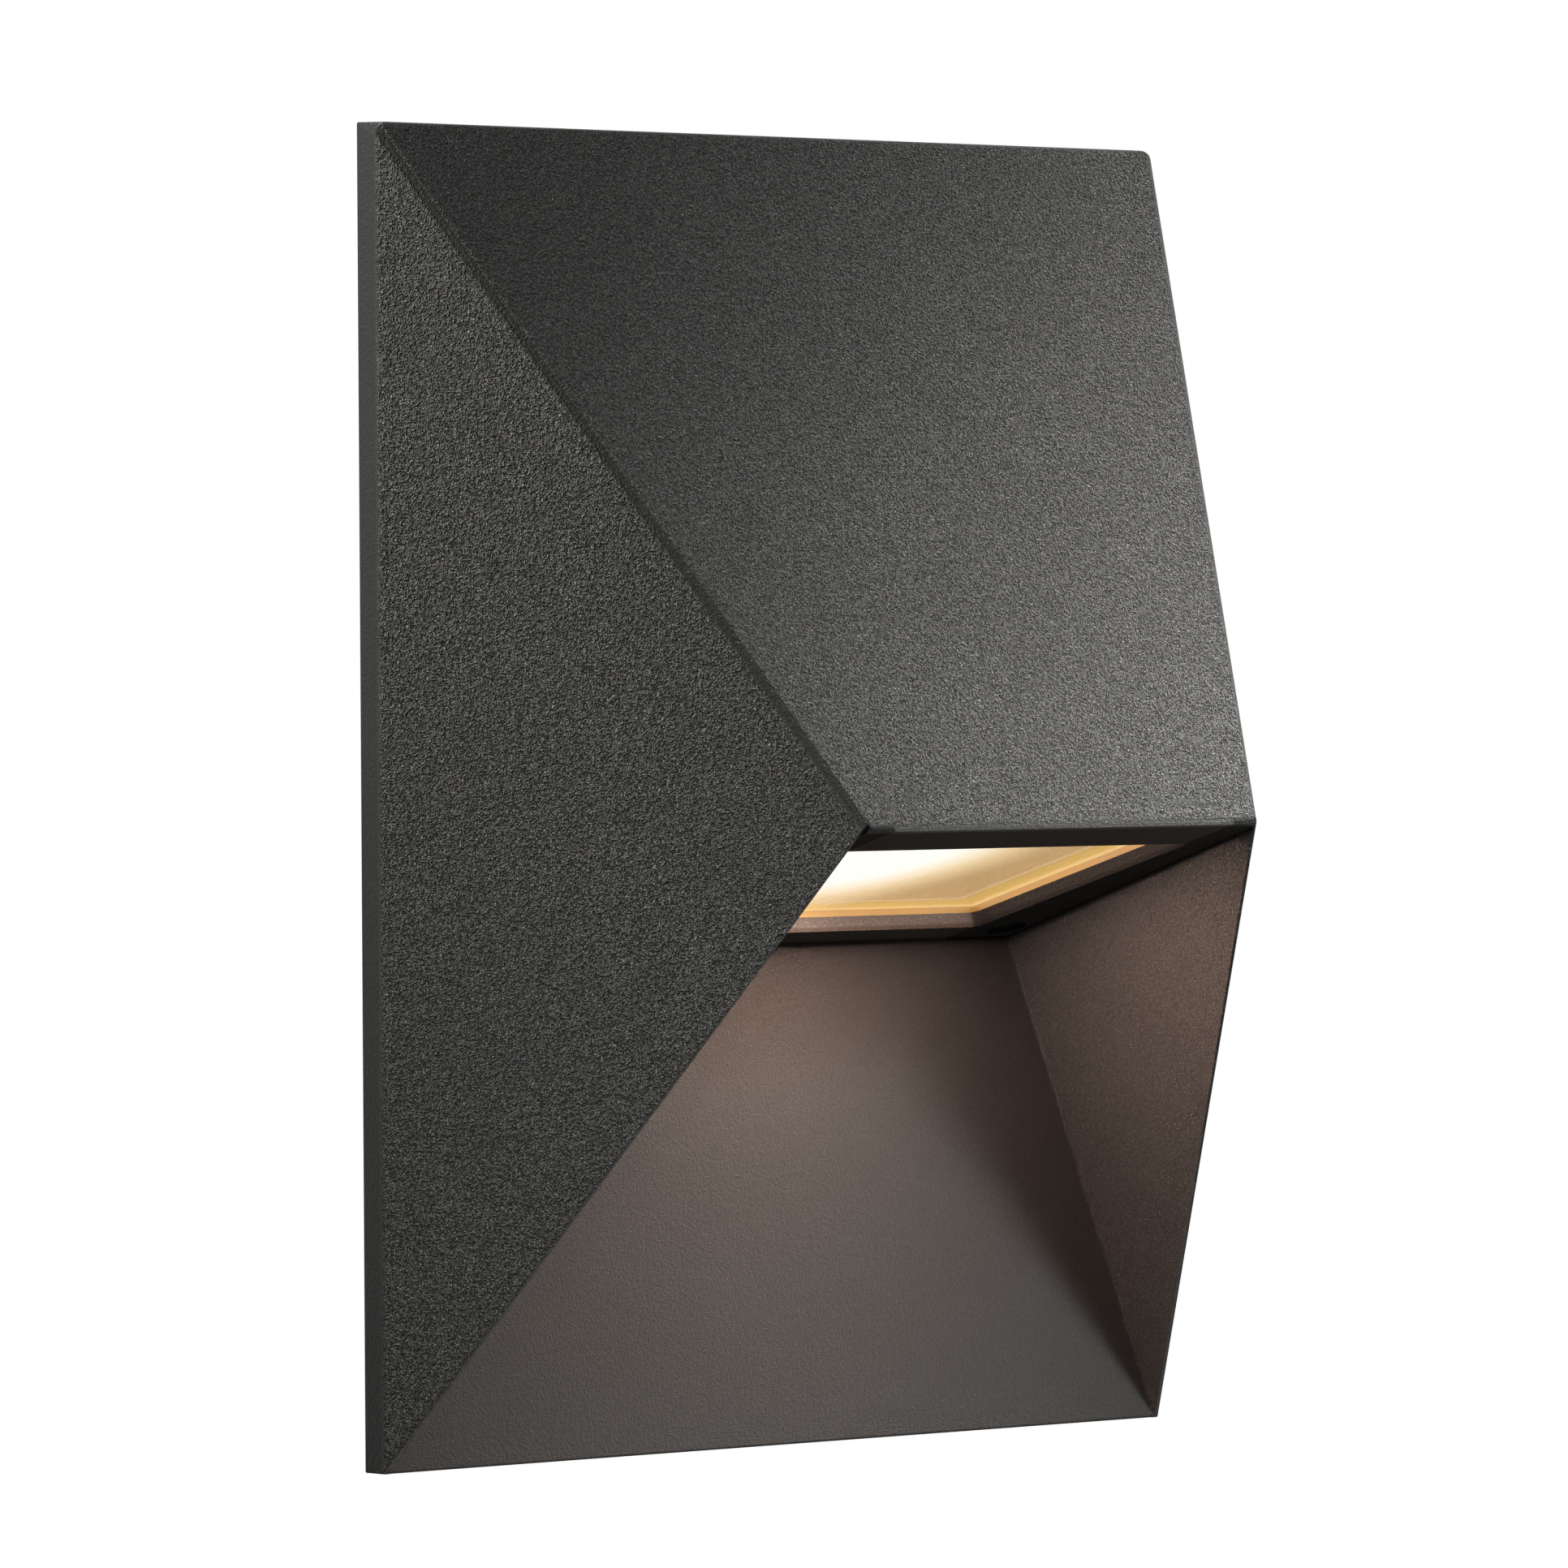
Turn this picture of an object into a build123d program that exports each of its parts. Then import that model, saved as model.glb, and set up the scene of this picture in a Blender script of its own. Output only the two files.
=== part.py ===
"""Outdoor wall light: a faceted die-cast housing that throws its light down the wall.

Millimetres. The wall is the plane Y = 0, the light stands out towards -Y, +Z is up, and the
origin is the middle of the light's height and width on the wall.
"""
import os
from math import atan2, cos, sin, sqrt

from build123d import *

# Outside shape of the housing
light_width = 150.0
light_height = 190.0
projection = 65.0
rim_depth = 4.0
ridge_flat = 0.4
wing_flat = 0.5
ridge_drop = 4.4
ledge_rear_drop = 22.0
foot_margin = 0.5
casting_wall = 2.4
wall_corner = 0.3
rim_corner = 2.2
hip_radius = 1.8
crease_radius = 0.8
recess_radius = 0.6
foot_break = 0.35

# Light window in the ledge
window_width = 67.0
window_rear_margin = 6.0
window_side_margin = 4.0
window_front_margin = 10.6
window_corner = 1.5
ledge_thickness = 2.2
gasket_thickness = 1.0
gasket_width = 2.3
glass_thickness = 3.0
glass_overlap = 2.5
glass_corner = 2.5

# Light chamber, board and heat spreader
chamber_height = 14.3
chamber_taper = 11.5
chamber_end_taper = 9.4
reflector_wall = 1.5
reflector_flange = 1.5
board_inset = 2.5
board_end_inset = 6.4
board_thickness = 1.6
board_screw_inset = 3.0
board_screw_end_inset = 6.0
pad_thickness = 0.5
carrier_edge = 4.5
carrier_end_inset = 4.4
carrier_thickness = 2.0
carrier_boss_gap = 2.0
carrier_hole_end_inset = 7.0
carrier_corner = 3.0
chip_size = 3.0
chip_height = 0.7
chip_columns = 4
chip_rows = 2
chip_pitch_x = 10.0

# Screws and the bosses that take them
small_shank = 1.25
small_head = 2.4
small_head_height = 1.9
head_round = 0.6
earth_shank = 1.9
earth_head = 3.6
earth_head_height = 2.6
thread_gap = 0.05
boss_radius = 3.5
screw_bite = 7.0
drive_width = 0.8
drive_depth = 1.0

# Gear tray across the back of the housing
tray_depth = 16.0
tray_width = 108.0
tray_thickness = 1.2
tray_bottom = 9.5
tray_top = 54.5
tray_corner = 4.0
tray_screw_x = 47.0
tray_screw_low = 21.0
tray_screw_high = 49.0

# Driver on the front of the tray
driver_overhang = 2.0
driver_height = 24.0
driver_middle = 32.0
driver_base = 2.0
driver_headroom = 1.3
driver_wall = 1.5
driver_edge = 1.0
driver_ear = 7.0
driver_ear_height = 8.0
driver_post = 2.0
driver_post_radius = 1.5
driver_board_gap = 0.8
driver_board_thickness = 1.6
transformer_size = 13.0
component_gap = 0.9
transformer_margin = 6.2
capacitor_width = 5.2
capacitor_length = 11.0
capacitor_edge = 0.6
capacitor_margin = 18.7
capacitor_pitch = 7.0

# Terminal block on the back of the tray
pole_pitch = 9.5
pole_count = 3
terminal_width = 30.0
terminal_height = 16.0
terminal_rise = 11.5
terminal_middle = 28.0
terminal_edge = 0.8
terminal_ear = 6.0
terminal_ear_rise = 3.0
terminal_ear_height = 9.0
button_width = 4.4
button_length = 5.4
button_body = 6.0
button_stand = 1.6
button_edge = 0.5
button_pocket = 6.5
button_gap = 0.3
spring_thickness = 0.5
wire_port_radius = 1.6
wire_port_depth = 4.5

# Leads inside the housing
lead_radius = 0.9
lead_gap = 0.1
lead_depth = 13.0
lead_level = 14.8
lead_end_depth = 24.5
lead_hold = 3.0
lead_bend = 2.8
bush_wall = 1.6
bush_lip = 0.8
led_lead_radius = 0.7
led_lead_inset = 3.2
led_lead_pitch = 2.6
led_lead_rise = 3.4
led_lead_bend = 12.0
earth_gap = 3.8
earth_level = 28.0
earth_turn_level = 12.5
earth_bend = 3.2
washer_radius = 4.2
washer_thickness = 0.8
lug_thickness = 0.8
barrel_wall = 0.6
barrel_length = 4.5
barrel_drop = 6.0

# Wall bracket and its cable grommet
bracket_edge = 3.75
bracket_thickness = 1.5
bracket_corner = 3.0
fixing_spacing = 60.0
fixing_level = 28.0
fixing_slot = 10.0
fixing_radius = 2.3
cable_level = 46.0
cable_radius = 3.8
grommet_wall = 2.6
grommet_lip = 1.8
grommet_lip_depth = 1.2
grommet_sleeve = 3.6
sleeve_taper = 12.0
dimple_wall = 1.4
tongue_x = 34.0
tongue_width = 14.0
tongue_level = 60.0
tongue_reach = 14.0
socket_wall = 3.0
running_gap = 0.3

# Retaining screws and clamp plates at the rear corners of the ledge
clamp_boss_gap = 0.3
clamp_depth = 8.5
clamp_boss_radius = 4.2
clamp_boss_top = -13.9
clamp_seat = -17.6
clamp_shank = 1.5
clamp_head = 2.75
clamp_head_height = 2.0
clamp_head_edge = 0.3
clamp_socket = 2.5
clamp_socket_depth = 1.2
clamp_tip = -7.0
flange_width = 7.5
flange_reach = 12.5
clamp_plate_depth = 6.0
clamp_plate_height = 2.4
guide_wall = 2.0

# The ledge tilts from its rear edge up to the flat under the ridge; the window lies in it
overrun = 12.0
half_height = light_height / 2
half_ridge = window_width / 2 + window_side_margin
foot_x = light_width / 2 - foot_margin
lean = (foot_x - half_ridge) / (half_height - ridge_drop)
sides = (-1, 1)
ledge_front_drop = ridge_drop + ridge_flat
ledge_tilt = atan2(ledge_rear_drop - ledge_front_drop, projection - rim_depth)
ledge_plane = Plane(
    origin=(0, -projection, -ledge_front_drop),
    x_dir=(1, 0, 0),
    z_dir=(0, sin(ledge_tilt), cos(ledge_tilt)),
)
ledge_length = (projection - rim_depth) / cos(ledge_tilt)
window_length = ledge_length - window_front_margin - window_rear_margin
window_plane = Plane(
    origin=ledge_plane.from_local_coords((0, window_front_margin + window_length / 2, 0)),
    x_dir=(1, 0, 0),
    z_dir=ledge_plane.z_dir,
)

# Levels of the light engine above the outer face of the ledge
glass_level = ledge_thickness + gasket_thickness
chamber_level = glass_level + glass_thickness
board_level = chamber_level + chamber_height
pad_level = board_level + board_thickness
carrier_level = pad_level + pad_thickness
carrier_top = carrier_level + carrier_thickness
glass_width = window_width + 2 * glass_overlap
glass_length = window_length + 2 * glass_overlap
chamber_top_width = window_width - 2 * chamber_taper
chamber_top_length = window_length - 2 * chamber_end_taper
chip_pitch_y = chamber_top_length / chip_rows
board_length = window_length - 2 * board_end_inset
board_screw_y = board_length / 2 - board_screw_end_inset
carrier_length = window_length - 2 * carrier_end_inset
carrier_hole_y = carrier_length / 2 - carrier_hole_end_inset
board_width = window_width - 2 * board_inset
board_screw_x = board_width / 2 - board_screw_inset
led_lead_x = board_width / 2 - led_lead_inset
carrier_hole_x = glass_width / 2 + carrier_boss_gap + boss_radius
carrier_width = 2 * (carrier_hole_x + carrier_edge)

# Depths and heights of the gear, measured from the wall and from mid-height. The driver fills the
# room between the tray and the inside of the top facet
tray_front = tray_depth + tray_thickness
driver_front = tray_front + driver_base
driver_bottom = driver_middle - driver_height / 2
driver_top = driver_middle + driver_height / 2
driver_length = board_width + 2 * driver_overhang
top_slope = (projection - rim_depth) / (half_height + ridge_drop)
top_wall = casting_wall * sqrt(1 + top_slope**2)
top_room = rim_depth + top_slope * (half_height - driver_top) - top_wall
driver_depth = top_room - driver_headroom - driver_front
terminal_back = tray_depth - terminal_rise
terminal_bottom = terminal_middle - terminal_height / 2
terminal_top = terminal_middle + terminal_height / 2
flange_level = clamp_boss_top + running_gap
clamp_plate_level = flange_level + bracket_thickness + running_gap
bracket_top = tongue_level + bracket_thickness
grommet_groove = cable_radius + grommet_wall
lip_radius = grommet_groove + grommet_lip
dimple_radius = lip_radius + running_gap
clamp_x = glass_width / 2 + clamp_boss_gap + clamp_boss_radius
bracket_width = 2 * (clamp_x + flange_width / 2 + bracket_edge)

# Where the screws, poles and leads stand
small_hole = small_shank + thread_gap
carrier_places = [(x * carrier_hole_x, y * carrier_hole_y) for x in sides for y in sides]
board_places = [(x * board_screw_x, y * board_screw_y) for x in sides for y in sides]
tray_places = [(x * tray_screw_x, z) for x in sides for z in (tray_screw_low, tray_screw_high)]
driver_places = [(x * (driver_length + driver_ear) / 2, driver_middle) for x in sides]
terminal_places = [(x * (terminal_width + terminal_ear) / 2, terminal_middle) for x in sides]
clamp_places = [(x * clamp_x, -clamp_depth) for x in sides]
pole_x = [(i - (pole_count - 1) / 2) * pole_pitch for i in range(pole_count)]
pole_places = [(x, terminal_middle) for x in pole_x]
earth_x = -terminal_width / 2 - terminal_ear - earth_gap - washer_radius
earth_place = (earth_x, earth_level)
led_lead_places = [(i * led_lead_pitch - led_lead_x, 0) for i in range(2)]
led_turn = window_plane.from_local_coords((0, 0, carrier_top + led_lead_rise))


def back_plane(depth):
    """Plane at a depth from the wall that faces the wall; its x runs towards -X and its y up."""
    return Plane(origin=(0, -depth, 0), x_dir=(-1, 0, 0), z_dir=(0, 1, 0))


def mirrored(places):
    """The same places counted towards -X, for a plane that faces the wall."""
    return [(-x, z) for x, z in places]


def near(part, x, y, z):
    """The edge of a part that runs nearest to a point."""
    return part.edges().sort_by_distance((x, y, z))[0]


def hull(skin, back):
    """Outside of the light, moved in by a skin, from a plane on or behind the wall forwards."""
    plan = [
        (-light_width / 2, back),
        (light_width / 2, back),
        (light_width / 2, -rim_depth),
        (half_ridge, -projection),
        (-half_ridge, -projection),
        (-light_width / 2, -rim_depth),
    ]
    side = [
        (back, -half_height),
        (back, half_height),
        (-rim_depth, half_height),
        (-projection, -ridge_drop),
        (-projection, -half_height),
    ]
    with BuildPart() as block:
        with BuildSketch(Plane.XY.offset(-half_height)):
            with BuildLine():
                Polyline(plan, close=True)
            make_face()
            if skin:
                offset(amount=-skin, kind=Kind.INTERSECTION)
        extrude(amount=light_height)
        with BuildSketch(Plane.YZ):
            with BuildLine():
                Polyline(side, close=True)
            make_face()
            if skin:
                offset(amount=-skin, kind=Kind.INTERSECTION)
        extrude(amount=light_width, both=True, mode=Mode.INTERSECT)
    return block.part


def recess(grow, ledge_grow):
    """Space under the ledge, grown by a wall, running out past the front and the bottom."""
    low = -half_height - overrun
    high = overrun - ridge_drop
    low_x = foot_x + lean * overrun
    high_x = half_ridge - lean * overrun
    with BuildPart() as space:
        with BuildSketch(Plane.XZ.offset(rim_depth - grow)):
            with BuildLine():
                Polyline([(-low_x, low), (low_x, low), (high_x, high), (-high_x, high)], close=True)
            make_face()
            if grow:
                offset(amount=grow, kind=Kind.INTERSECTION)
        extrude(amount=projection)
        split(bisect_by=ledge_plane.offset(ledge_grow), keep=Keep.BOTTOM)
    return space.part


def wing_cutter(side):
    """Bar along the sharp edge from the ridge end to the foot, whose inner face leaves a flat there."""
    top = Vector(side * half_ridge, -projection, -ridge_drop)
    foot_depth = rim_depth + foot_margin * (projection - rim_depth) / (light_width / 2 - half_ridge)
    foot = Vector(side * foot_x, -foot_depth, -half_height)
    facet = Vector(side * (projection - rim_depth), half_ridge - light_width / 2, 0).normalized()
    wall = Vector(-side, 0, -lean).normalized()
    outward = facet + wall
    sharpness = outward.length / 2
    depth = wing_flat / 2 * sqrt(1 - sharpness**2) / sharpness
    with BuildPart() as bar:
        with BuildSketch(Plane(origin=(top + foot) / 2, x_dir=outward, z_dir=top - foot)):
            Rectangle(2 * depth, 2 * wing_flat)
        extrude(amount=(top - foot).length / 2 + overrun, both=True)
    return bar.part


def rim_outline(depth, radius):
    """Outline of the light at a depth, its top corners rounded and its bottom ones nearly sharp."""
    with BuildSketch(Plane.XZ.offset(depth)) as outline:
        Rectangle(light_width, light_height)
        fillet(outline.vertices().group_by(Axis.Y)[-1], radius)
        fillet(outline.vertices().group_by(Axis.Y)[0], wall_corner)
    return outline.sketch


def pan_screws(plane, places, shank, length, head, head_height):
    """Pan-head screws with a cross drive: heads on top of the plane, shanks going down from it."""
    with BuildPart() as screws:
        with BuildSketch(plane):
            with Locations(*places):
                Circle(head)
        extrude(amount=head_height)
        fillet(screws.edges().sort_by(Axis(plane.origin, plane.z_dir))[-len(places):], head_round)
        with BuildSketch(plane):
            with Locations(*places):
                Circle(shank)
        extrude(amount=-length)
        with BuildSketch(plane.offset(head_height)):
            with Locations(*places):
                Rectangle(head, drive_width)
                Rectangle(drive_width, head)
        extrude(amount=-drive_depth, mode=Mode.SUBTRACT)
    return screws.part


def lead(points, radius, bend):
    """Round lead along straight runs joined by arcs."""
    with BuildPart() as wire:
        with BuildLine() as route:
            FilletPolyline(points, radius=bend)
        with BuildSketch(Plane(origin=route.line @ 0, z_dir=route.line % 0)):
            Circle(radius)
        sweep()
    return wire.part


outer = hull(0, 0)

# Space under the ledge, with rounded creases between its back panel and its side walls
with BuildPart() as open_recess:
    add(recess(0, 0))
    corner_z = -(half_height + ledge_rear_drop) / 2
    corner_x = half_ridge - lean * (corner_z + ridge_drop)
    fillet([near(open_recess, x * corner_x, -rim_depth, corner_z) for x in sides], recess_radius)

# Space inside the casting: the outside moved in by the wall, less the recess and its walls
with BuildPart() as hollow:
    add(hull(casting_wall, overrun))
    add(recess(casting_wall, ledge_thickness), mode=Mode.SUBTRACT)

# Bosses, tongue sockets and clamp guides inside the housing, ending within the casting's walls
with BuildPart() as inner_bosses:
    with BuildSketch(window_plane.offset(ledge_thickness / 2)):
        with Locations(*carrier_places):
            Circle(boss_radius)
    extrude(amount=carrier_level - ledge_thickness / 2)
    with BuildSketch(Plane.XZ.offset(tray_front)):
        with Locations(*tray_places):
            Circle(boss_radius)
    extrude(amount=projection)
    with BuildSketch(Plane.XZ.offset(rim_depth)):
        with Locations(*[(x * tongue_x, tongue_level + bracket_thickness / 2) for x in sides]):
            Rectangle(tongue_width + 2 * socket_wall, bracket_thickness + 2 * socket_wall)
    extrude(amount=projection)
    with BuildSketch(Plane.XY.offset(clamp_boss_top)):
        with Locations(*clamp_places):
            Circle(clamp_boss_radius)
    extrude(amount=-overrun)
    guide_x = clamp_x + flange_width / 2 + running_gap + guide_wall / 2
    with BuildSketch(Plane.XY.offset(clamp_tip)):
        with Locations(*[(x * guide_x, -clamp_depth) for x in sides]):
            Rectangle(guide_wall, clamp_plate_depth)
    extrude(amount=clamp_seat - clamp_tip - overrun)
    add(hull(casting_wall / 2, 0), mode=Mode.INTERSECT)
    add(open_recess.part, mode=Mode.SUBTRACT)

# Square bar on its edge that breaks the lower edge of the back panel
with BuildPart() as foot_cutter:
    with BuildSketch(Plane.YZ):
        with Locations((-rim_depth, -half_height)):
            Rectangle(foot_break * sqrt(2), foot_break * sqrt(2), rotation=45)
    extrude(amount=foot_x - recess_radius, both=True)

# Block that rounds the top corners of the rim, from nearly sharp on the wall to full at its front
with BuildPart() as rim_block:
    loft([rim_outline(0, wall_corner), rim_outline(rim_depth, rim_corner)], ruled=True)
    extrude(rim_outline(rim_depth, rim_corner), amount=projection - rim_depth)

# Die-cast housing: rounded outside, recess, hollow, bosses, then the window and the holes
with BuildPart() as front_housing:
    add(outer)
    hip_x = (light_width / 2 + half_ridge) / 2
    hip_z = (half_height - ridge_drop) / 2
    hips = [(x * hip_x, -(rim_depth + projection) / 2, hip_z) for x in sides]
    fillet([near(front_housing, *place) for place in hips], hip_radius)
    creases = [(x * light_width / 2, -rim_depth, 0) for x in sides]
    creases.append((0, -rim_depth, half_height))
    fillet([near(front_housing, *place) for place in creases], crease_radius)
    add(rim_block.part, mode=Mode.INTERSECT)
    add(open_recess.part, mode=Mode.SUBTRACT)
    for side in sides:
        add(wing_cutter(side), mode=Mode.SUBTRACT)
    add(foot_cutter.part, mode=Mode.SUBTRACT)
    add(hollow.part, mode=Mode.SUBTRACT)
    add(inner_bosses.part)
    with BuildSketch(window_plane.offset(-overrun)):
        RectangleRounded(window_width, window_length, window_corner)
    extrude(amount=overrun + glass_level, mode=Mode.SUBTRACT)
    with BuildSketch(window_plane.offset(carrier_level)):
        with Locations(*carrier_places):
            Circle(small_hole)
    extrude(amount=-screw_bite - thread_gap, mode=Mode.SUBTRACT)
    with BuildSketch(Plane.XZ.offset(tray_front)):
        with Locations(*tray_places):
            Circle(small_hole)
    extrude(amount=screw_bite + thread_gap, mode=Mode.SUBTRACT)
    with BuildSketch(Plane.XZ):
        with Locations(*[(x * tongue_x, tongue_level + bracket_thickness / 2) for x in sides]):
            Rectangle(tongue_width + 2 * running_gap, bracket_thickness + 2 * running_gap)
    extrude(amount=tongue_reach + running_gap, mode=Mode.SUBTRACT)
    with BuildSketch(Plane.XY.offset(clamp_seat)):
        with Locations(*clamp_places):
            Circle(clamp_head + running_gap)
    extrude(amount=-overrun, mode=Mode.SUBTRACT)
    with BuildSketch(Plane.XY.offset(clamp_seat)):
        with Locations(*clamp_places):
            Circle(clamp_shank + running_gap)
    extrude(amount=overrun, mode=Mode.SUBTRACT)

# Seal between the ledge and the pane
with BuildPart() as glass_gasket:
    with BuildSketch(window_plane.offset(ledge_thickness)):
        RectangleRounded(glass_width, glass_length, glass_corner)
        offset(amount=-gasket_width, kind=Kind.INTERSECTION, mode=Mode.SUBTRACT)
    extrude(amount=gasket_thickness)

# Light window
with BuildPart() as glass_pane:
    with BuildSketch(window_plane.offset(glass_level)):
        RectangleRounded(glass_width, glass_length, glass_corner)
    extrude(amount=glass_thickness)

# Tapered chamber between the pane and the board, with a flange on the pane
with BuildPart() as reflector:
    with BuildSketch(window_plane.offset(chamber_level)):
        Rectangle(window_width + 2 * reflector_wall, window_length + 2 * reflector_wall)
    with BuildSketch(window_plane.offset(board_level)):
        Rectangle(chamber_top_width + 2 * reflector_wall, chamber_top_length + 2 * reflector_wall)
    loft(ruled=True)
    with BuildSketch(window_plane.offset(chamber_level)):
        RectangleRounded(glass_width, glass_length, glass_corner)
    extrude(amount=reflector_flange)
    with BuildSketch(window_plane.offset(chamber_level)):
        Rectangle(window_width, window_length)
    with BuildSketch(window_plane.offset(board_level)):
        Rectangle(chamber_top_width, chamber_top_length)
    loft(ruled=True, mode=Mode.SUBTRACT)

# Light board with its screw holes
with BuildPart() as led_board:
    with BuildSketch(window_plane.offset(board_level)):
        Rectangle(board_width, board_length)
        with Locations(*board_places):
            Circle(small_hole, mode=Mode.SUBTRACT)
    extrude(amount=board_thickness)

# Light-emitting chips under the board
with BuildPart() as led_chips:
    with BuildSketch(window_plane.offset(board_level)):
        with GridLocations(chip_pitch_x, chip_pitch_y, chip_columns, chip_rows):
            Rectangle(chip_size, chip_size)
    extrude(amount=-chip_height)

# Heat pad between the board and the spreader
with BuildPart() as thermal_pad:
    with BuildSketch(window_plane.offset(pad_level)):
        Rectangle(board_width, board_length)
        with Locations(*board_places):
            Circle(small_hole, mode=Mode.SUBTRACT)
        with Locations(*led_lead_places):
            Circle(led_lead_radius + lead_gap, mode=Mode.SUBTRACT)
    extrude(amount=pad_thickness)

# Heat spreader that carries the board and stands on four bosses
with BuildPart() as led_carrier:
    with BuildSketch(window_plane.offset(carrier_level)):
        RectangleRounded(carrier_width, carrier_length, carrier_corner)
        with Locations(*carrier_places, *board_places):
            Circle(small_hole, mode=Mode.SUBTRACT)
        with Locations(*led_lead_places):
            Circle(led_lead_radius + lead_gap, mode=Mode.SUBTRACT)
    extrude(amount=carrier_thickness)

carrier_face = window_plane.offset(carrier_top)
carrier_screw_length = carrier_thickness + screw_bite
carrier_screws = pan_screws(
    carrier_face, carrier_places, small_shank, carrier_screw_length, small_head, small_head_height
)
board_face = Plane(
    origin=window_plane.offset(board_level).origin, x_dir=(1, 0, 0), z_dir=-window_plane.z_dir
)
board_screw_length = carrier_top - board_level
board_screws = pan_screws(
    board_face, board_places, small_shank, board_screw_length, small_head, small_head_height
)

# Sheet tray across the back of the housing
lead_holes = [(x, lead_level) for x in pole_x[1:]]
bush_middle = (sum(pole_x[1:]) / 2, lead_level)
bush_length = pole_x[-1] - pole_x[1]
bush_radius = lead_radius + bush_wall
with BuildPart() as gear_tray:
    with BuildSketch(Plane.XZ.offset(tray_depth)):
        with Locations((0, (tray_bottom + tray_top) / 2)):
            RectangleRounded(tray_width, tray_top - tray_bottom, tray_corner)
        with Locations(*tray_places, *driver_places, *terminal_places):
            Circle(small_hole, mode=Mode.SUBTRACT)
        with Locations(earth_place):
            Circle(earth_shank + thread_gap, mode=Mode.SUBTRACT)
        with Locations(bush_middle):
            SlotCenterToCenter(bush_length, 2 * bush_radius, mode=Mode.SUBTRACT)
    extrude(amount=tray_thickness)
tray_screws = pan_screws(
    back_plane(tray_depth),
    mirrored(tray_places),
    small_shank,
    tray_thickness + screw_bite,
    small_head,
    small_head_height,
)

# Bush that guards the leads where they pass the tray
with BuildPart() as lead_bush:
    with BuildSketch(Plane.XZ.offset(tray_depth - bush_lip)):
        with Locations(bush_middle):
            SlotCenterToCenter(bush_length, 2 * (bush_radius + bush_lip))
    extrude(amount=bush_lip)
    with BuildSketch(Plane.XZ.offset(tray_depth)):
        with Locations(bush_middle):
            SlotCenterToCenter(bush_length, 2 * bush_radius - 2 * thread_gap)
    extrude(amount=tray_thickness)
    with BuildSketch(Plane.XZ.offset(tray_front)):
        with Locations(bush_middle):
            SlotCenterToCenter(bush_length, 2 * (bush_radius + bush_lip))
    extrude(amount=bush_lip)
    with BuildSketch(Plane.XZ.offset(tray_depth - bush_lip)):
        with Locations(*lead_holes):
            Circle(lead_radius + lead_gap)
    extrude(amount=tray_thickness + 2 * bush_lip, mode=Mode.SUBTRACT)

# Driver: base plate with ears and posts, case, circuit board and its main components
driver_inside_length = driver_length - 2 * driver_wall
driver_inside_height = driver_height - 2 * driver_wall
driver_board_length = driver_inside_length - 2 * driver_board_gap
driver_board_height = driver_inside_height - 2 * driver_board_gap
post_x = driver_board_length / 2 - driver_post_radius
post_z = driver_board_height / 2 - driver_post_radius
with BuildPart() as driver_lid:
    with BuildSketch(Plane.XZ.offset(tray_front)):
        with Locations((0, driver_middle)):
            Rectangle(driver_length, driver_height)
        with Locations((0, driver_middle)):
            Rectangle(driver_length + 2 * driver_ear, driver_ear_height)
        with Locations(*driver_places):
            Circle(small_hole, mode=Mode.SUBTRACT)
    extrude(amount=driver_base)
    with BuildSketch(Plane.XZ.offset(driver_front)):
        with Locations(*[(x * post_x, driver_middle + z * post_z) for x in sides for z in sides]):
            Circle(driver_post_radius)
    extrude(amount=driver_post)
with BuildPart() as driver_case:
    with BuildSketch(Plane.XZ.offset(driver_front)):
        with Locations((0, driver_middle)):
            Rectangle(driver_length, driver_height)
    extrude(amount=driver_depth)
    fillet(driver_case.edges().group_by(Axis.Y)[0], driver_edge)
    with BuildSketch(Plane.XZ.offset(driver_front)):
        with Locations((0, driver_middle)):
            Rectangle(driver_inside_length, driver_inside_height)
    extrude(amount=driver_depth - driver_wall, mode=Mode.SUBTRACT)
    with BuildSketch(Plane.XY.offset(driver_bottom)):
        with Locations(*[(x, -lead_end_depth) for x in pole_x[1:]]):
            Circle(lead_radius + lead_gap)
        with Locations(*[(x, led_turn.Y) for x, y in led_lead_places]):
            Circle(led_lead_radius + lead_gap)
    extrude(amount=driver_wall, mode=Mode.SUBTRACT)
driver_board_depth = driver_front + driver_post
with BuildPart() as driver_board:
    with BuildSketch(Plane.XZ.offset(driver_board_depth)):
        with Locations((0, driver_middle)):
            Rectangle(driver_board_length, driver_board_height)
    extrude(amount=driver_board_thickness)
driver_board_front = driver_board_depth + driver_board_thickness
component_room = driver_front + driver_depth - driver_wall - driver_board_front
component_height = component_room - component_gap
transformer_x = driver_board_length / 2 - transformer_margin - transformer_size / 2
capacitor_x = capacitor_margin - driver_board_length / 2
with BuildPart() as driver_transformer:
    with BuildSketch(Plane.XZ.offset(driver_board_front)):
        with Locations((transformer_x, driver_middle)):
            RectangleRounded(transformer_size, transformer_size, driver_edge)
    extrude(amount=component_height)
with BuildPart() as driver_capacitors:
    with BuildSketch(Plane.XZ.offset(driver_board_front)):
        with Locations(*[(capacitor_x + i * capacitor_pitch, driver_middle) for i in range(2)]):
            RectangleRounded(capacitor_width, capacitor_length, capacitor_edge)
    extrude(amount=component_height)
driver_face = Plane.XZ.offset(driver_front)
driver_screw_length = driver_base + tray_thickness
driver_screws = pan_screws(
    driver_face, driver_places, small_shank, driver_screw_length, small_head, small_head_height
)

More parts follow.
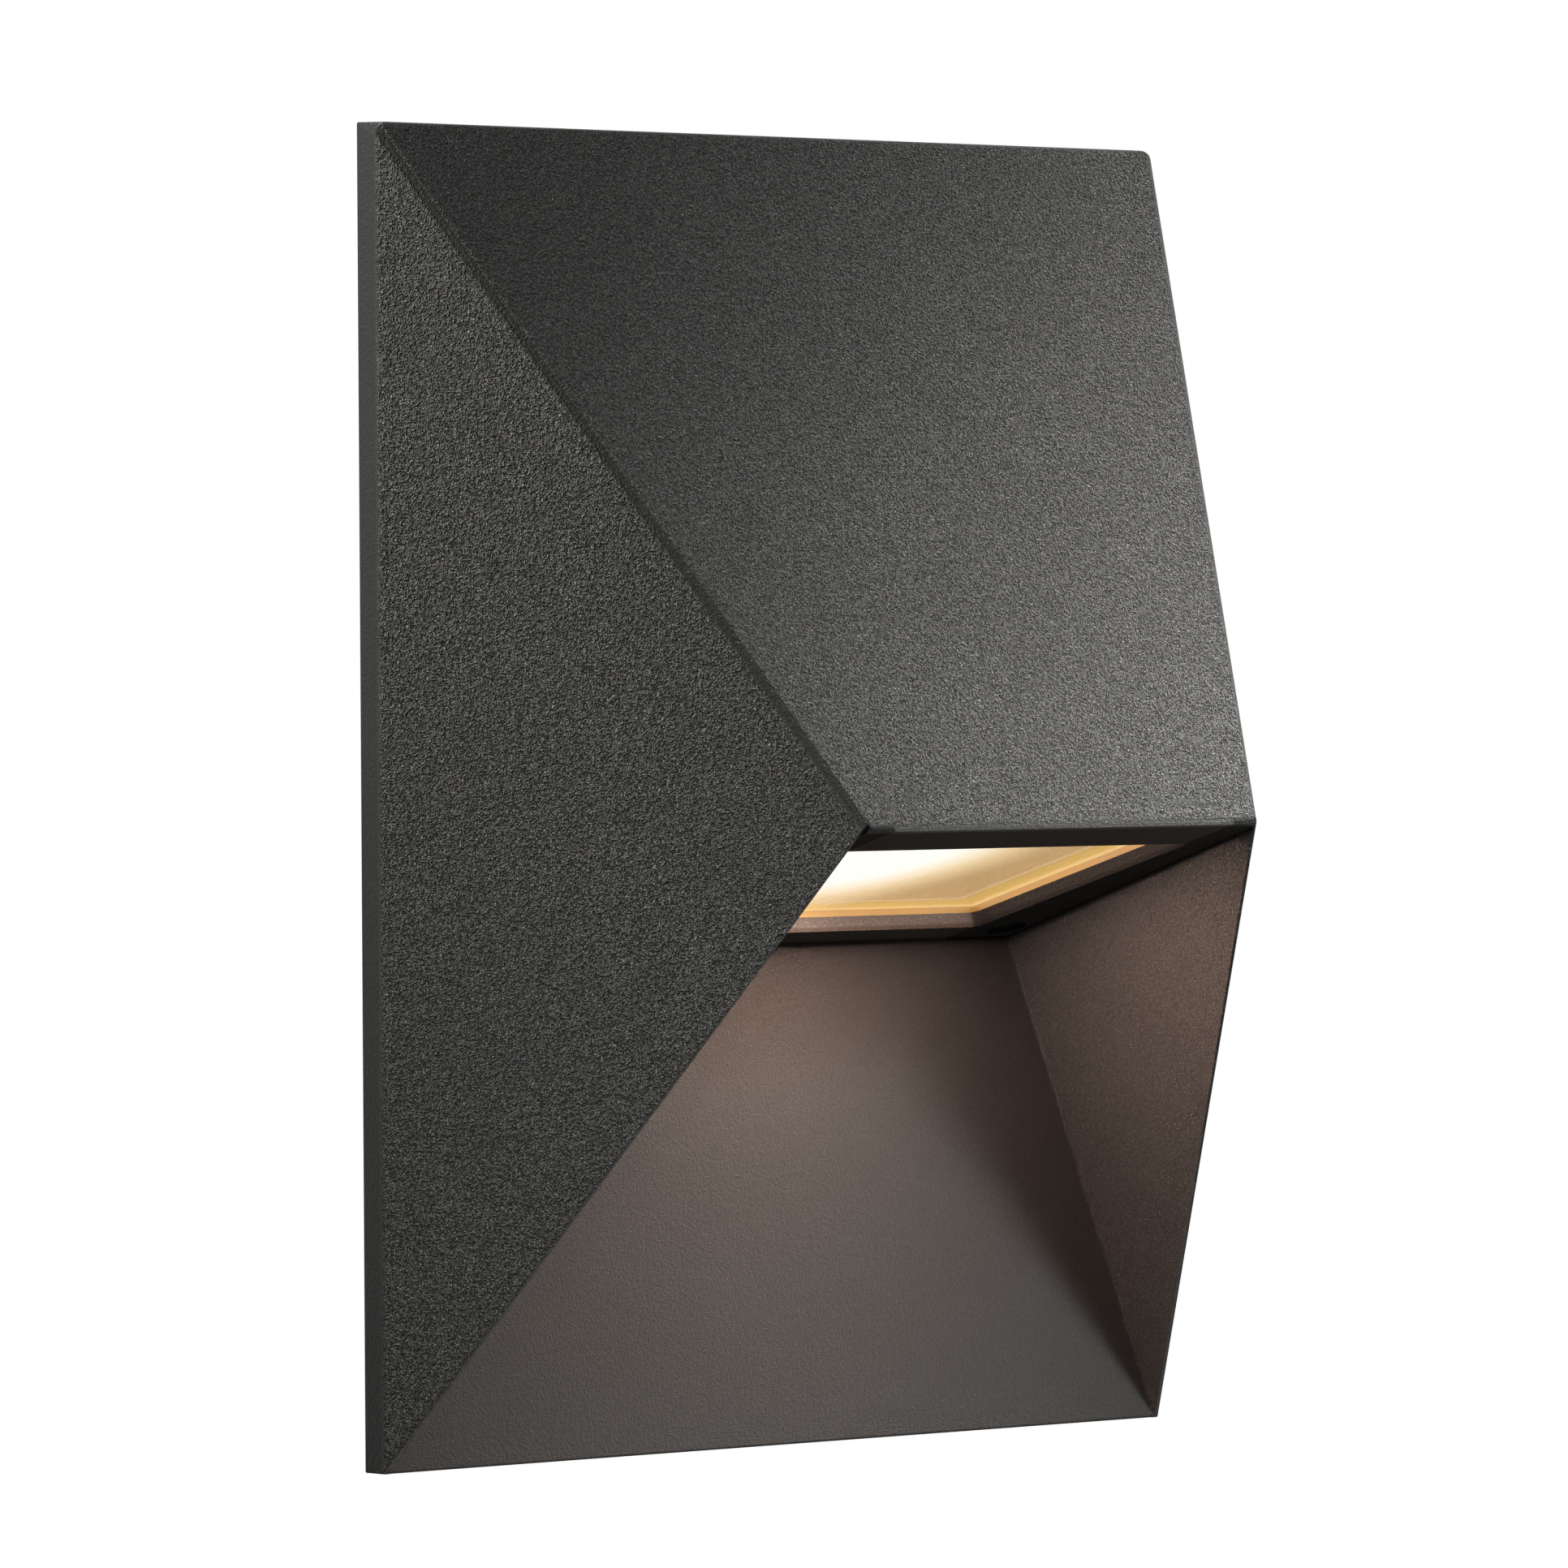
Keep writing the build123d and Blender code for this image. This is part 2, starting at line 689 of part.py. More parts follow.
# Terminal block: body with ears, button pockets, wire ports above and lead ports below
with BuildPart() as terminal_block:
    with BuildSketch(back_plane(tray_depth)):
        with Locations((0, terminal_middle)):
            Rectangle(terminal_width, terminal_height)
    extrude(amount=terminal_rise)
    fillet(terminal_block.edges().group_by(Axis.Y)[-1], terminal_edge)
    with BuildSketch(back_plane(tray_depth)):
        with Locations((0, terminal_middle)):
            Rectangle(terminal_width + 2 * terminal_ear, terminal_ear_height)
    extrude(amount=terminal_ear_rise)
    with BuildSketch(back_plane(tray_depth)):
        with Locations(*mirrored(terminal_places)):
            Circle(small_hole)
    extrude(amount=terminal_ear_rise, mode=Mode.SUBTRACT)
    with BuildSketch(Plane.XZ.offset(terminal_back)):
        with Locations(*pole_places):
            Rectangle(button_width + 2 * button_gap, button_length + 2 * button_gap)
    extrude(amount=button_pocket, mode=Mode.SUBTRACT)
    with BuildSketch(Plane.XY.offset(terminal_top)):
        with Locations(*[(x, -lead_depth) for x in pole_x]):
            Circle(wire_port_radius)
    extrude(amount=-wire_port_depth, mode=Mode.SUBTRACT)
    with BuildSketch(Plane.XY.offset(terminal_bottom)):
        with Locations(*[(x, -lead_depth) for x in pole_x]):
            Circle(lead_radius + lead_gap)
    extrude(amount=lead_hold, mode=Mode.SUBTRACT)
with BuildPart() as terminal_springs:
    with BuildSketch(Plane.XZ.offset(terminal_back + button_pocket - spring_thickness)):
        with Locations(*pole_places):
            Rectangle(button_width, button_length)
    extrude(amount=spring_thickness)
terminal_screws = pan_screws(
    back_plane(tray_depth - terminal_ear_rise),
    mirrored(terminal_places),
    small_shank,
    terminal_ear_rise + tray_thickness,
    small_head,
    small_head_height,
)

# Release buttons of the terminal block, one a pole
buttons = {}
for button_name, x in zip(("earth", "live", "neutral"), pole_x):
    with BuildPart() as button:
        with BuildSketch(Plane.XZ.offset(terminal_back - button_stand)):
            with Locations((x, terminal_middle)):
                Rectangle(button_width, button_length)
        extrude(amount=button_body)
        fillet(button.edges().group_by(Axis.Y)[-1], button_edge)
    buttons[button_name] = button.part

# Earth point on the back of the tray: washer, lug with its barrel, screw
lug_depth = tray_depth - washer_thickness - lug_thickness
barrel_radius = lead_radius + barrel_wall
barrel_top = earth_level - barrel_drop
barrel_depth = lug_depth + lug_thickness - barrel_radius
with BuildPart() as earth_washer:
    with BuildSketch(Plane.XZ.offset(tray_depth - washer_thickness)):
        with Locations(earth_place):
            Circle(washer_radius)
            Circle(earth_shank + thread_gap, mode=Mode.SUBTRACT)
    extrude(amount=washer_thickness)
with BuildPart() as earth_lug:
    with BuildSketch(Plane.XZ.offset(lug_depth)):
        with Locations(earth_place):
            Circle(washer_radius)
        with Locations((earth_x, (earth_level + barrel_top) / 2)):
            Rectangle(2 * barrel_radius, earth_level - barrel_top)
        with Locations(earth_place):
            Circle(earth_shank + thread_gap, mode=Mode.SUBTRACT)
    extrude(amount=lug_thickness)
    with BuildSketch(Plane.XY.offset(barrel_top)):
        with Locations((earth_x, -barrel_depth)):
            Circle(barrel_radius)
    extrude(amount=-barrel_length)
    with BuildSketch(Plane.XY.offset(barrel_top)):
        with Locations((earth_x, -barrel_depth)):
            Circle(lead_radius + lead_gap)
    extrude(amount=-barrel_length, mode=Mode.SUBTRACT)
earth_screw = pan_screws(
    back_plane(lug_depth),
    mirrored([earth_place]),
    earth_shank,
    tray_depth - lug_depth + tray_thickness,
    earth_head,
    earth_head_height,
)

# Leads: terminal to driver through the bush, terminal to earth point, driver to board
lead_top = terminal_bottom + lead_hold
lead_end = driver_bottom + driver_wall


def supply_lead(x):
    """Lead of one pole: down from the terminal, through the tray, up into the driver."""
    points = [
        (x, -lead_depth, lead_top),
        (x, -lead_depth, lead_level),
        (x, -lead_end_depth, lead_level),
        (x, -lead_end_depth, lead_end),
    ]
    return lead(points, lead_radius, lead_bend)


def board_lead(x):
    """Lead of the light board: down from the driver, square through the spreader to the board."""
    points = [
        (x, led_turn.Y, lead_end),
        (x, led_turn.Y, led_turn.Z),
        tuple(window_plane.from_local_coords((x, 0, pad_level))),
    ]
    return lead(points, led_lead_radius, led_lead_bend)


live_lead, neutral_lead = [supply_lead(x) for x in pole_x[1:]]
led_lead_positive, led_lead_negative = [board_lead(x) for x, y in led_lead_places]
earth_lead = lead(
    [
        (pole_x[0], -lead_depth, lead_top),
        (pole_x[0], -lead_depth, earth_turn_level),
        (earth_x, -barrel_depth, earth_turn_level),
        (earth_x, -barrel_depth, barrel_top),
    ],
    lead_radius,
    earth_bend,
)

# Wall bracket: plate with two fixing slots, pressed dimple for the grommet, two supporting
# tongues at the top and two open-slotted flanges at the bottom
slot_radius = clamp_shank + running_gap
with BuildPart() as wall_bracket:
    with BuildSketch(Plane.XZ):
        with Locations((0, (flange_level + bracket_top) / 2)):
            Rectangle(bracket_width, bracket_top - flange_level)
    extrude(amount=bracket_thickness)
    fillet(wall_bracket.edges().filter_by(Axis.Y), bracket_corner)
    with BuildSketch(Plane.XY.offset(tongue_level)):
        with Locations(*[(x * tongue_x, -tongue_reach / 2) for x in sides]):
            Rectangle(tongue_width, tongue_reach)
    extrude(amount=bracket_thickness)
    with BuildSketch(Plane.XY.offset(flange_level)):
        with Locations(*[(x * clamp_x, -flange_reach / 2) for x in sides]):
            Rectangle(flange_width, flange_reach)
        with Locations(*clamp_places):
            Circle(slot_radius, mode=Mode.SUBTRACT)
        with Locations(*[(x * clamp_x, -(clamp_depth + flange_reach) / 2) for x in sides]):
            Rectangle(2 * slot_radius, flange_reach - clamp_depth, mode=Mode.SUBTRACT)
    extrude(amount=bracket_thickness)
    with BuildSketch(Plane.XZ):
        with Locations((0, cable_level)):
            Circle(dimple_radius + dimple_wall)
    extrude(amount=2 * bracket_thickness)
    with BuildSketch(Plane.XZ):
        with Locations((0, cable_level)):
            Circle(dimple_radius)
    extrude(amount=bracket_thickness, mode=Mode.SUBTRACT)
    with BuildSketch(Plane.XZ):
        with Locations((0, cable_level)):
            Circle(grommet_groove + thread_gap)
        with GridLocations(fixing_spacing, 1, 2, 1):
            with Locations((0, fixing_level)):
                SlotOverall(fixing_slot, 2 * fixing_radius)
    extrude(amount=2 * bracket_thickness, mode=Mode.SUBTRACT)

# Rubber grommet where the supply cable comes in
lip_back = bracket_thickness - grommet_lip_depth
lip_front = 2 * bracket_thickness + grommet_lip_depth
with BuildPart() as cable_grommet:
    with BuildSketch(Plane.XZ.offset(lip_back)):
        with Locations((0, cable_level)):
            Circle(lip_radius)
    extrude(amount=grommet_lip_depth)
    with BuildSketch(Plane.XZ.offset(bracket_thickness)):
        with Locations((0, cable_level)):
            Circle(grommet_groove)
    extrude(amount=bracket_thickness)
    with BuildSketch(Plane.XZ.offset(2 * bracket_thickness)):
        with Locations((0, cable_level)):
            Circle(lip_radius)
    extrude(amount=grommet_lip_depth)
    with BuildSketch(Plane.XZ.offset(lip_front)):
        with Locations((0, cable_level)):
            Circle(grommet_groove)
    extrude(amount=grommet_sleeve, taper=sleeve_taper)
    with BuildSketch(Plane.XZ.offset(lip_back)):
        with Locations((0, cable_level)):
            Circle(cable_radius)
    extrude(amount=lip_front + grommet_sleeve - lip_back, mode=Mode.SUBTRACT)

# Retaining screws with a hexagon socket in the head, and the clamp plates on their threads
retaining_screws = {}
clamp_plates = {}
for side_name, x in zip(("left", "right"), sides):
    place = (x * clamp_x, -clamp_depth)
    head_top = clamp_seat - running_gap
    with BuildPart() as retaining_screw:
        with BuildSketch(Plane.XY.offset(head_top)):
            with Locations(place):
                Circle(clamp_head)
        extrude(amount=-clamp_head_height)
        fillet(retaining_screw.edges().group_by(Axis.Z)[0], clamp_head_edge)
        with BuildSketch(Plane.XY.offset(head_top)):
            with Locations(place):
                Circle(clamp_shank)
        extrude(amount=clamp_tip - head_top)
        with BuildSketch(Plane.XY.offset(head_top - clamp_head_height)):
            with Locations(place):
                RegularPolygon(clamp_socket / 2, 6, major_radius=False)
        extrude(amount=clamp_socket_depth, mode=Mode.SUBTRACT)
    retaining_screws[side_name] = retaining_screw.part
    with BuildPart() as clamp_plate:
        with BuildSketch(Plane.XY.offset(clamp_plate_level)):
            with Locations(place):
                Rectangle(flange_width, clamp_plate_depth)
                Circle(clamp_shank + running_gap, mode=Mode.SUBTRACT)
        extrude(amount=clamp_plate_height)
    clamp_plates[side_name] = clamp_plate.part

pieces = {
    "front_housing": front_housing.part,
    "glass_gasket": glass_gasket.part,
    "glass_pane": glass_pane.part,
    "reflector": reflector.part,
    "led_board": led_board.part,
    "led_chips": led_chips.part,
    "thermal_pad": thermal_pad.part,
    "led_carrier": led_carrier.part,
    "carrier_screws": carrier_screws,
    "board_screws": board_screws,
    "gear_tray": gear_tray.part,
    "tray_screws": tray_screws,
    "lead_bush": lead_bush.part,
    "driver_lid": driver_lid.part,
    "driver_case": driver_case.part,
    "driver_board": driver_board.part,
    "driver_transformer": driver_transformer.part,
    "driver_capacitors": driver_capacitors.part,
    "driver_screws": driver_screws,
    "terminal_block": terminal_block.part,
    "terminal_springs": terminal_springs.part,
    "terminal_screws": terminal_screws,
    "earth_washer": earth_washer.part,
    "earth_lug": earth_lug.part,
    "earth_screw": earth_screw,
    "live_lead": live_lead,
    "neutral_lead": neutral_lead,
    "earth_lead": earth_lead,
    "led_lead_positive": led_lead_positive,
    "led_lead_negative": led_lead_negative,
    "wall_bracket": wall_bracket.part,
    "cable_grommet": cable_grommet.part,
}
for button_name, part in buttons.items():
    pieces["terminal_button_" + button_name] = part
for side_name in retaining_screws:
    pieces["retaining_screw_" + side_name] = retaining_screws[side_name]
    pieces["clamp_plate_" + side_name] = clamp_plates[side_name]

os.makedirs("parts", exist_ok=True)
for name, part in pieces.items():
    part.label = name
    export_step(part, f"parts/{name}.step")
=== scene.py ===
"""Outdoor wall light: grained coat, lit window, finishes of the inner parts, screw threads and stage.

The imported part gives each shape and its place. This file adds the finishes, the cut threads of the
two retaining screws and a pale studio with the camera, laid out as an add-on.
"""
import math
from typing import NamedTuple

import bpy
import numpy as np
from bpy.props import FloatProperty, FloatVectorProperty, IntProperty, PointerProperty
from mathutils import Matrix, Vector


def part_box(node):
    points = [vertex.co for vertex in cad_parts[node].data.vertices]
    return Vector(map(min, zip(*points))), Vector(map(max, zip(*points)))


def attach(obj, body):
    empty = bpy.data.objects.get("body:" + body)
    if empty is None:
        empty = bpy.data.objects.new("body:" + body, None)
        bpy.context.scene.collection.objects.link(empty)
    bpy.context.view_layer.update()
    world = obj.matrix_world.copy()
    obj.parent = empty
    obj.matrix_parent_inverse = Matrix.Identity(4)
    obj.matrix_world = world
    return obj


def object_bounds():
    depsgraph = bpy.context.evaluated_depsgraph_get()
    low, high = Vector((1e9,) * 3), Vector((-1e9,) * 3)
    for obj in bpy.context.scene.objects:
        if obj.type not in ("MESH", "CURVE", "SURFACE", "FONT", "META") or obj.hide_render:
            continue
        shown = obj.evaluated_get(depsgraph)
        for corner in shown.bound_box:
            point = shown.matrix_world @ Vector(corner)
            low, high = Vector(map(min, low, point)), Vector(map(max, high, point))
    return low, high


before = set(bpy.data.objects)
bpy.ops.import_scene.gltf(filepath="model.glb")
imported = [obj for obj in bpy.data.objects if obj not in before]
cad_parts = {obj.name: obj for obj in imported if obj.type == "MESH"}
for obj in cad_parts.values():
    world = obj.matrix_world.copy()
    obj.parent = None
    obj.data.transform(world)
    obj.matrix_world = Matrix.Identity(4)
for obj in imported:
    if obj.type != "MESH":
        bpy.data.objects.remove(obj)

bl_info = {
    "name": "Wall light looks",
    "version": (1, 0, 0),
    "blender": (4, 5, 0),
    "location": "View3D > Sidebar > Wall Light",
    "description": "Finishes, screw threads and stage of an outdoor wall light with a lit recess",
    "category": "Object",
}

CAD_BOX = [[float(value) for value in corner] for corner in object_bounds()]
HOUSING_LOW, HOUSING_HIGH = (Vector(corner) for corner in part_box("front_housing"))
PANE_LOW, PANE_HIGH = (Vector(corner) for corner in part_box("glass_pane"))

# Casting, in metres: half of the ridge, its drop below the middle, the rim, the ledge and its window
HALF_RIDGE = 0.0375
RIDGE_DROP = 0.0044
RIM_DEPTH = 0.004
LEDGE_FRONT_DROP = 0.0048
LEDGE_REAR_DROP = 0.022
LEDGE_REACH = -HOUSING_LOW.y - RIM_DEPTH
WINDOW_HALF_WIDTH = 0.0335
WINDOW_HALF_LENGTH = 0.0234
LIP_RISE = 0.0035
LIP_SLOPE = 0.6
LIP_START = 0.0003

# Soft edges of the coat's zones, in metres: where a zone begins and where it is full
INSIDE_EDGE = (0.0006, -0.0002)
BELOW_EDGE = (0.0008, 0.0)
BEHIND_EDGE = (0.0006, 0.0014)
SHELF_EDGE = (0.0009, 0.0004)
OVER_EDGE = (-0.0006, -0.0002)
JAMB_EDGE = (WINDOW_HALF_WIDTH - 0.0013, WINDOW_HALF_WIDTH - 0.0005)
RIM_EDGE = (-RIM_DEPTH - 0.0006, -RIM_DEPTH + 0.0004)
RIDGE_EDGE = (-RIDGE_DROP - 0.0005, -RIDGE_DROP + 0.0005)
HIP_EDGE = (0.0014, 0.0005)

# Shared effects: scale and height of the broad noise, weight of the fine one, edges of the masks
SWELL_SCALE = 0.4
SWELL_HEIGHT = 1.2
BEAD_WEIGHT = 0.6
GRAIN_EDGE = (0.40, 0.60)
# The next edges mark the painted glints on the highest beads.
PAINTED_GLINT_EDGE = (0.66, 0.76)
PATCH_SCALE = 0.18
SPECK_EDGE = (0.30, 0.72)
PATCH_EDGE = (0.38, 0.66)
FLOW_SCALE = 0.06
SOFT_EDGE = (0.30, 0.70)
DRAWN_STRETCH = (0.03, 1.0, 1.0)

# Finishes: shares of the colour, cover, roughness and size of dull patches, half the range of roughness
DRAWN_DARK = 0.84
DRAWN_PALE = 1.10
DRAWN_DULL = 0.62
DULL_COVER = 0.35
DULL_ROUGH = 0.12
DULL_SIZE = 12.0
DRAWN_RANGE = 0.05
MOULDED_RANGE = 0.06
SPECKLED_DULL = 0.7
SPECKLED_COVER = 0.3
SPECKLED_RANGE = 0.08
SPECKLED_HEIGHT = 0.06

# Coat: shares of its colour in pits (painted shade) and on beads (painted light), on painted glints, on
# random patches, on the hips and rim (painted shade on the hips, darker on the rim) and on the window
# jambs (painted shade); painted shade with a warm reflected tint under the ledge
PIT_SHADE_SHARE = 0.40
BEAD_LIGHT_SHARE = 1.72
PAINTED_GLINT_SHARE = 4.0
PATCH_SHARE = 0.8
HIP_SHADE_RIM_SHARE = 0.42
JAMB_SHADE_SHARE = 0.10
SHELF_SHADE_COLOUR = (0.040, 0.033, 0.028)

# Coat: size and cover of its patches, cover of its zones, evenness of the hips, roughness and gloss
PATCH_SIZE = 0.012
PATCH_COVER = 0.18
ZONE_COVER = 0.9
HIP_EVEN = 0.8
SATIN = (0.30, 0.38)
RECESS_MATT = 0.25
SHELF_MATT = 0.35
COAT_GLOSS = 0.045

# Pane, in metres across and along it: middle and reach of the visible glow and of the light source
GLOW_MIDDLE = (-0.012, -0.008)
GLOW_REACH = (0.026, 0.030)
SOURCE_MIDDLE = (-0.004, -0.005)
SOURCE_REACH = (0.017, 0.028)
SOURCE_FALL = -4.5
SOURCE_REST = 0.034
RIPPLE_SIZE = 0.003
RIPPLE_SHIFT = 0.03

# Pane: edges of the glow in shares of its reach, edges of the border in shares of the pane's half; the
# inner line and the bright edge along the border are painted highlights
HOT_EDGE = (0.95, 0.45)
FRINGE_EDGE = (1.30, 0.72)
BORDER_EDGE = (0.80, 0.84)
LINE_RISE = (0.775, 0.795)
LINE_FALL = (0.815, 0.80)
BRIGHT_EDGE = (0.93, 0.98)
LINE_SHARE = 0.35

# Thread: rings in one pitch, relief at the foot of the run-out, distance from the screw's tip
THREAD_RINGS = 8
THREAD_RELIEF = 0.00006
THREAD_TIP = 0.0001

# Stage: half of the floor, its squares along one side, its brightness, the camera's sensor and near limit
FLOOR_HALF = 4.0
FLOOR_SQUARES = 8
FLOOR_SHINE = 0.94
SENSOR_WIDTH = 36.0
NEAR_LIMIT = 0.01


class Lamp(NamedTuple):
    """Square lamp: where it stands and looks, its side in metres, power in watts, spread in degrees."""

    name: str
    place: tuple
    target: tuple
    side: float
    power: float
    spread: float


LAMPS = (
    Lamp("key", (0.385, -0.142, 0.397), (0.085, -0.042, 0.012), 0.12, 0.33, 26.0),
    Lamp("fill", (-0.436, 0.074, 0.293), (-0.065, -0.012, 0.085), 0.15, 0.36, 50.0),
    Lamp("front", (0.15, -0.48, 0.17), (0.01, -0.01, -0.095), 0.16, 0.14, 20.0),
    Lamp("rear", (0.20, 0.90, 0.40), (0.0, 0.0, 0.0), 0.50, 1.1, 120.0),
)


class Moulded(NamedTuple):
    """Moulded plastic or rubber, with the size and height of its skin in metres."""

    colour: tuple
    roughness: float
    size: float
    height: float
    contrast: float = 0.16


class Drawn(NamedTuple):
    """Rolled or turned metal, with the width and height of its lines in metres."""

    colour: tuple
    roughness: float
    size: float
    height: float


class Speckled(NamedTuple):
    """Board, ceramic or pressed face, with the size of its specks in metres."""

    colour: tuple
    roughness: float
    size: float
    contrast: float


MOULDED = {
    # Seal: amber colour that is partly the seal's own and partly painted warm light from the window along
    # the pane's edge.
    "seal_silicone": Moulded((0.20, 0.14, 0.03), 0.50, 0.0005, 0.00002, 0.08),
    "seal_rubber": Moulded((0.018, 0.017, 0.016), 0.68, 0.0005, 0.00004),
    "white_plastic": Moulded((0.82, 0.81, 0.78), 0.42, 0.0006, 0.00002, 0.05),
    "capacitor_box": Moulded((0.42, 0.08, 0.03), 0.40, 0.0007, 0.00002),
    "terminal_grey": Moulded((0.46, 0.47, 0.47), 0.44, 0.0006, 0.00003),
    "button_green": Moulded((0.05, 0.36, 0.10), 0.38, 0.0005, 0.00002),
    "button_orange": Moulded((0.80, 0.24, 0.03), 0.38, 0.0005, 0.00002),
    "button_blue": Moulded((0.04, 0.16, 0.50), 0.38, 0.0005, 0.00002),
    "lead_brown": Moulded((0.13, 0.048, 0.02), 0.36, 0.0004, 0.00001),
    "lead_blue": Moulded((0.02, 0.12, 0.46), 0.36, 0.0004, 0.00001),
    "lead_red": Moulded((0.50, 0.022, 0.018), 0.36, 0.0004, 0.00001),
    "lead_black": Moulded((0.014, 0.014, 0.015), 0.36, 0.0004, 0.00001),
}

DRAWN = {
    "bare_aluminium": Drawn((0.72, 0.72, 0.73), 0.36, 0.0004, 0.00003),
    "spring_steel": Drawn((0.52, 0.53, 0.55), 0.28, 0.0003, 0.00001),
    "plated_brass": Drawn((0.74, 0.70, 0.60), 0.30, 0.0003, 0.00001),
    "screw_brass": Drawn((0.78, 0.57, 0.26), 0.32, 0.0003, 0.00001),
    "zinc_sheet": Drawn((0.60, 0.62, 0.64), 0.40, 0.0006, 0.00003),
    "screw_steel": Drawn((0.62, 0.61, 0.58), 0.30, 0.0003, 0.00001),
    "black_screw": Drawn((0.055, 0.054, 0.053), 0.42, 0.0003, 0.00001),
}

SPECKLED = {
    "board_white": Speckled((0.78, 0.78, 0.75), 0.46, 0.0012, 0.06),
    "chip_yellow": Speckled((0.78, 0.56, 0.10), 0.35, 0.0007, 0.12),
    "pad_grey": Speckled((0.36, 0.37, 0.39), 0.72, 0.0010, 0.12),
    "board_green": Speckled((0.025, 0.16, 0.07), 0.34, 0.0015, 0.12),
    "ferrite": Speckled((0.055, 0.052, 0.052), 0.62, 0.0008, 0.25),
}

# Earth lead: colours of its sleeve, its dull places, its bands, its skin in metres, its roughness
SLEEVE_GREEN = (0.05, 0.30, 0.07)
SLEEVE_YELLOW = (0.80, 0.58, 0.03)
SLEEVE_DULL = 0.6
SLEEVE_COVER = 0.2
BAND_SCALE = 130.0
BAND_EDGE = (0.56, 0.64)
SLEEVE_SIZE = 0.0004
SLEEVE_HEIGHT = 0.00001
SLEEVE_SATIN = (0.30, 0.42)

# Glass of the pane under its glow
GLASS_COLOUR = (0.86, 0.84, 0.79)
GLASS_DARK = (0.30, 0.28, 0.24)
GLASS_PALE = (0.36, 0.34, 0.30)
GLASS_SATIN = (0.22, 0.32)
GLASS_HEIGHT = 0.00003


class CoatSettings(bpy.types.PropertyGroup):
    """Powder coat of the casting."""

    colour: FloatVectorProperty(
        name="Coat colour",
        description="Anthracite of the powder coat",
        subtype="COLOR",
        size=3,
        min=0.0,
        max=1.0,
        default=(0.0615, 0.0600, 0.0570),
    )
    grain_size: FloatProperty(
        name="Grain size",
        description="Width of one grain of the coat",
        unit="LENGTH",
        default=0.00022,
    )
    grain_height: FloatProperty(
        name="Grain height",
        description="Height of the grain on the facets",
        unit="LENGTH",
        default=0.00055,
    )
    recess_grain: FloatProperty(
        name="Grain left in the recess",
        description="Share of the grain on the rim and in the recess, where the coat flowed out",
        subtype="FACTOR",
        min=0.0,
        max=1.0,
        default=0.20,
    )


class GlowSettings(bpy.types.PropertyGroup):
    """Lit window in the ledge."""

    hot: FloatVectorProperty(
        name="Middle of the glow",
        description="Colour of the pane over the light source",
        subtype="COLOR",
        size=3,
        min=0.0,
        max=1.0,
        default=(1.0, 0.97, 0.90),
    )
    warm: FloatVectorProperty(
        name="Fringe of the glow",
        description="Colour of the pane round its bright middle",
        subtype="COLOR",
        size=3,
        min=0.0,
        max=1.0,
        default=(0.86, 0.66, 0.38),
    )
    tan: FloatVectorProperty(
        name="Side of the glow",
        description="Colour of the pane away from the light source",
        subtype="COLOR",
        size=3,
        min=0.0,
        max=1.0,
        default=(0.47, 0.29, 0.12),
    )
    gold: FloatVectorProperty(
        name="Border of the glow",
        description="Colour of the pane along its border",
        subtype="COLOR",
        size=3,
        min=0.0,
        max=1.0,
        default=(0.54, 0.335, 0.085),
    )
    cast: FloatVectorProperty(
        name="Light of the window",
        description="Colour of the light that the pane throws down the wall",
        subtype="COLOR",
        size=3,
        min=0.0,
        max=1.0,
        default=(1.0, 0.69, 0.57),
    )
    strength: FloatProperty(
        name="Strength of the window",
        description="Brightness of the light source behind the middle of the pane, where 1 is white",
        min=0.0,
        default=138.0,
    )


class ThreadSettings(bpy.types.PropertyGroup):
    """Cut threads of the retaining screws."""

    pitch: FloatProperty(
        name="Pitch",
        description="Rise of the thread in one turn",
        unit="LENGTH",
        default=0.0005,
    )
    core: FloatProperty(
        name="Core radius",
        description="Radius at the foot of the thread",
        unit="LENGTH",
        default=0.00152,
    )
    crest: FloatProperty(
        name="Crest radius",
        description="Radius at the crest of the thread",
        unit="LENGTH",
        default=0.00170,
    )
    length: FloatProperty(
        name="Threaded length",
        description="Length of the thread, measured down from the screw's tip",
        unit="LENGTH",
        default=0.0066,
    )
    steps: IntProperty(
        name="Steps round",
        description="Points round one turn",
        min=12,
        default=40,
    )


class StageSettings(bpy.types.PropertyGroup):
    """Floor, room and camera."""

    floor_drop: FloatProperty(
        name="Floor below the light",
        description="Height of the light's foot above the floor",
        unit="LENGTH",
        default=0.30,
    )
    floor_colour: FloatVectorProperty(
        name="Floor colour",
        description="Pale floor",
        subtype="COLOR",
        size=3,
        min=0.0,
        max=1.0,
        default=(0.60, 0.60, 0.60),
    )
    ambient: FloatProperty(
        name="Ambient light",
        description="Brightness of the room for soft light",
        min=0.0,
        default=0.11,
    )
    view_turn: FloatProperty(
        name="View turn",
        description="Turn of the camera towards the light's left side",
        subtype="ANGLE",
        default=math.radians(41.5),
    )
    view_tilt: FloatProperty(
        name="View tilt",
        description="Tilt of the camera, downwards below zero",
        subtype="ANGLE",
        default=math.radians(-0.74),
    )
    view_roll: FloatProperty(
        name="View roll",
        description="Roll of the camera",
        subtype="ANGLE",
        default=math.radians(0.34),
    )
    view_distance: FloatProperty(
        name="View distance",
        description="Distance of the camera from the middle of the light",
        unit="LENGTH",
        default=1.489,
    )
    lens: FloatProperty(
        name="Focal length",
        description="Focal length in millimetres on a sensor 36 mm wide",
        default=235.0,
    )
    aside: FloatVectorProperty(
        name="View offset",
        description="Offset of the light across and up the view",
        unit="LENGTH",
        size=2,
        default=(-0.0033, -0.0010),
    )


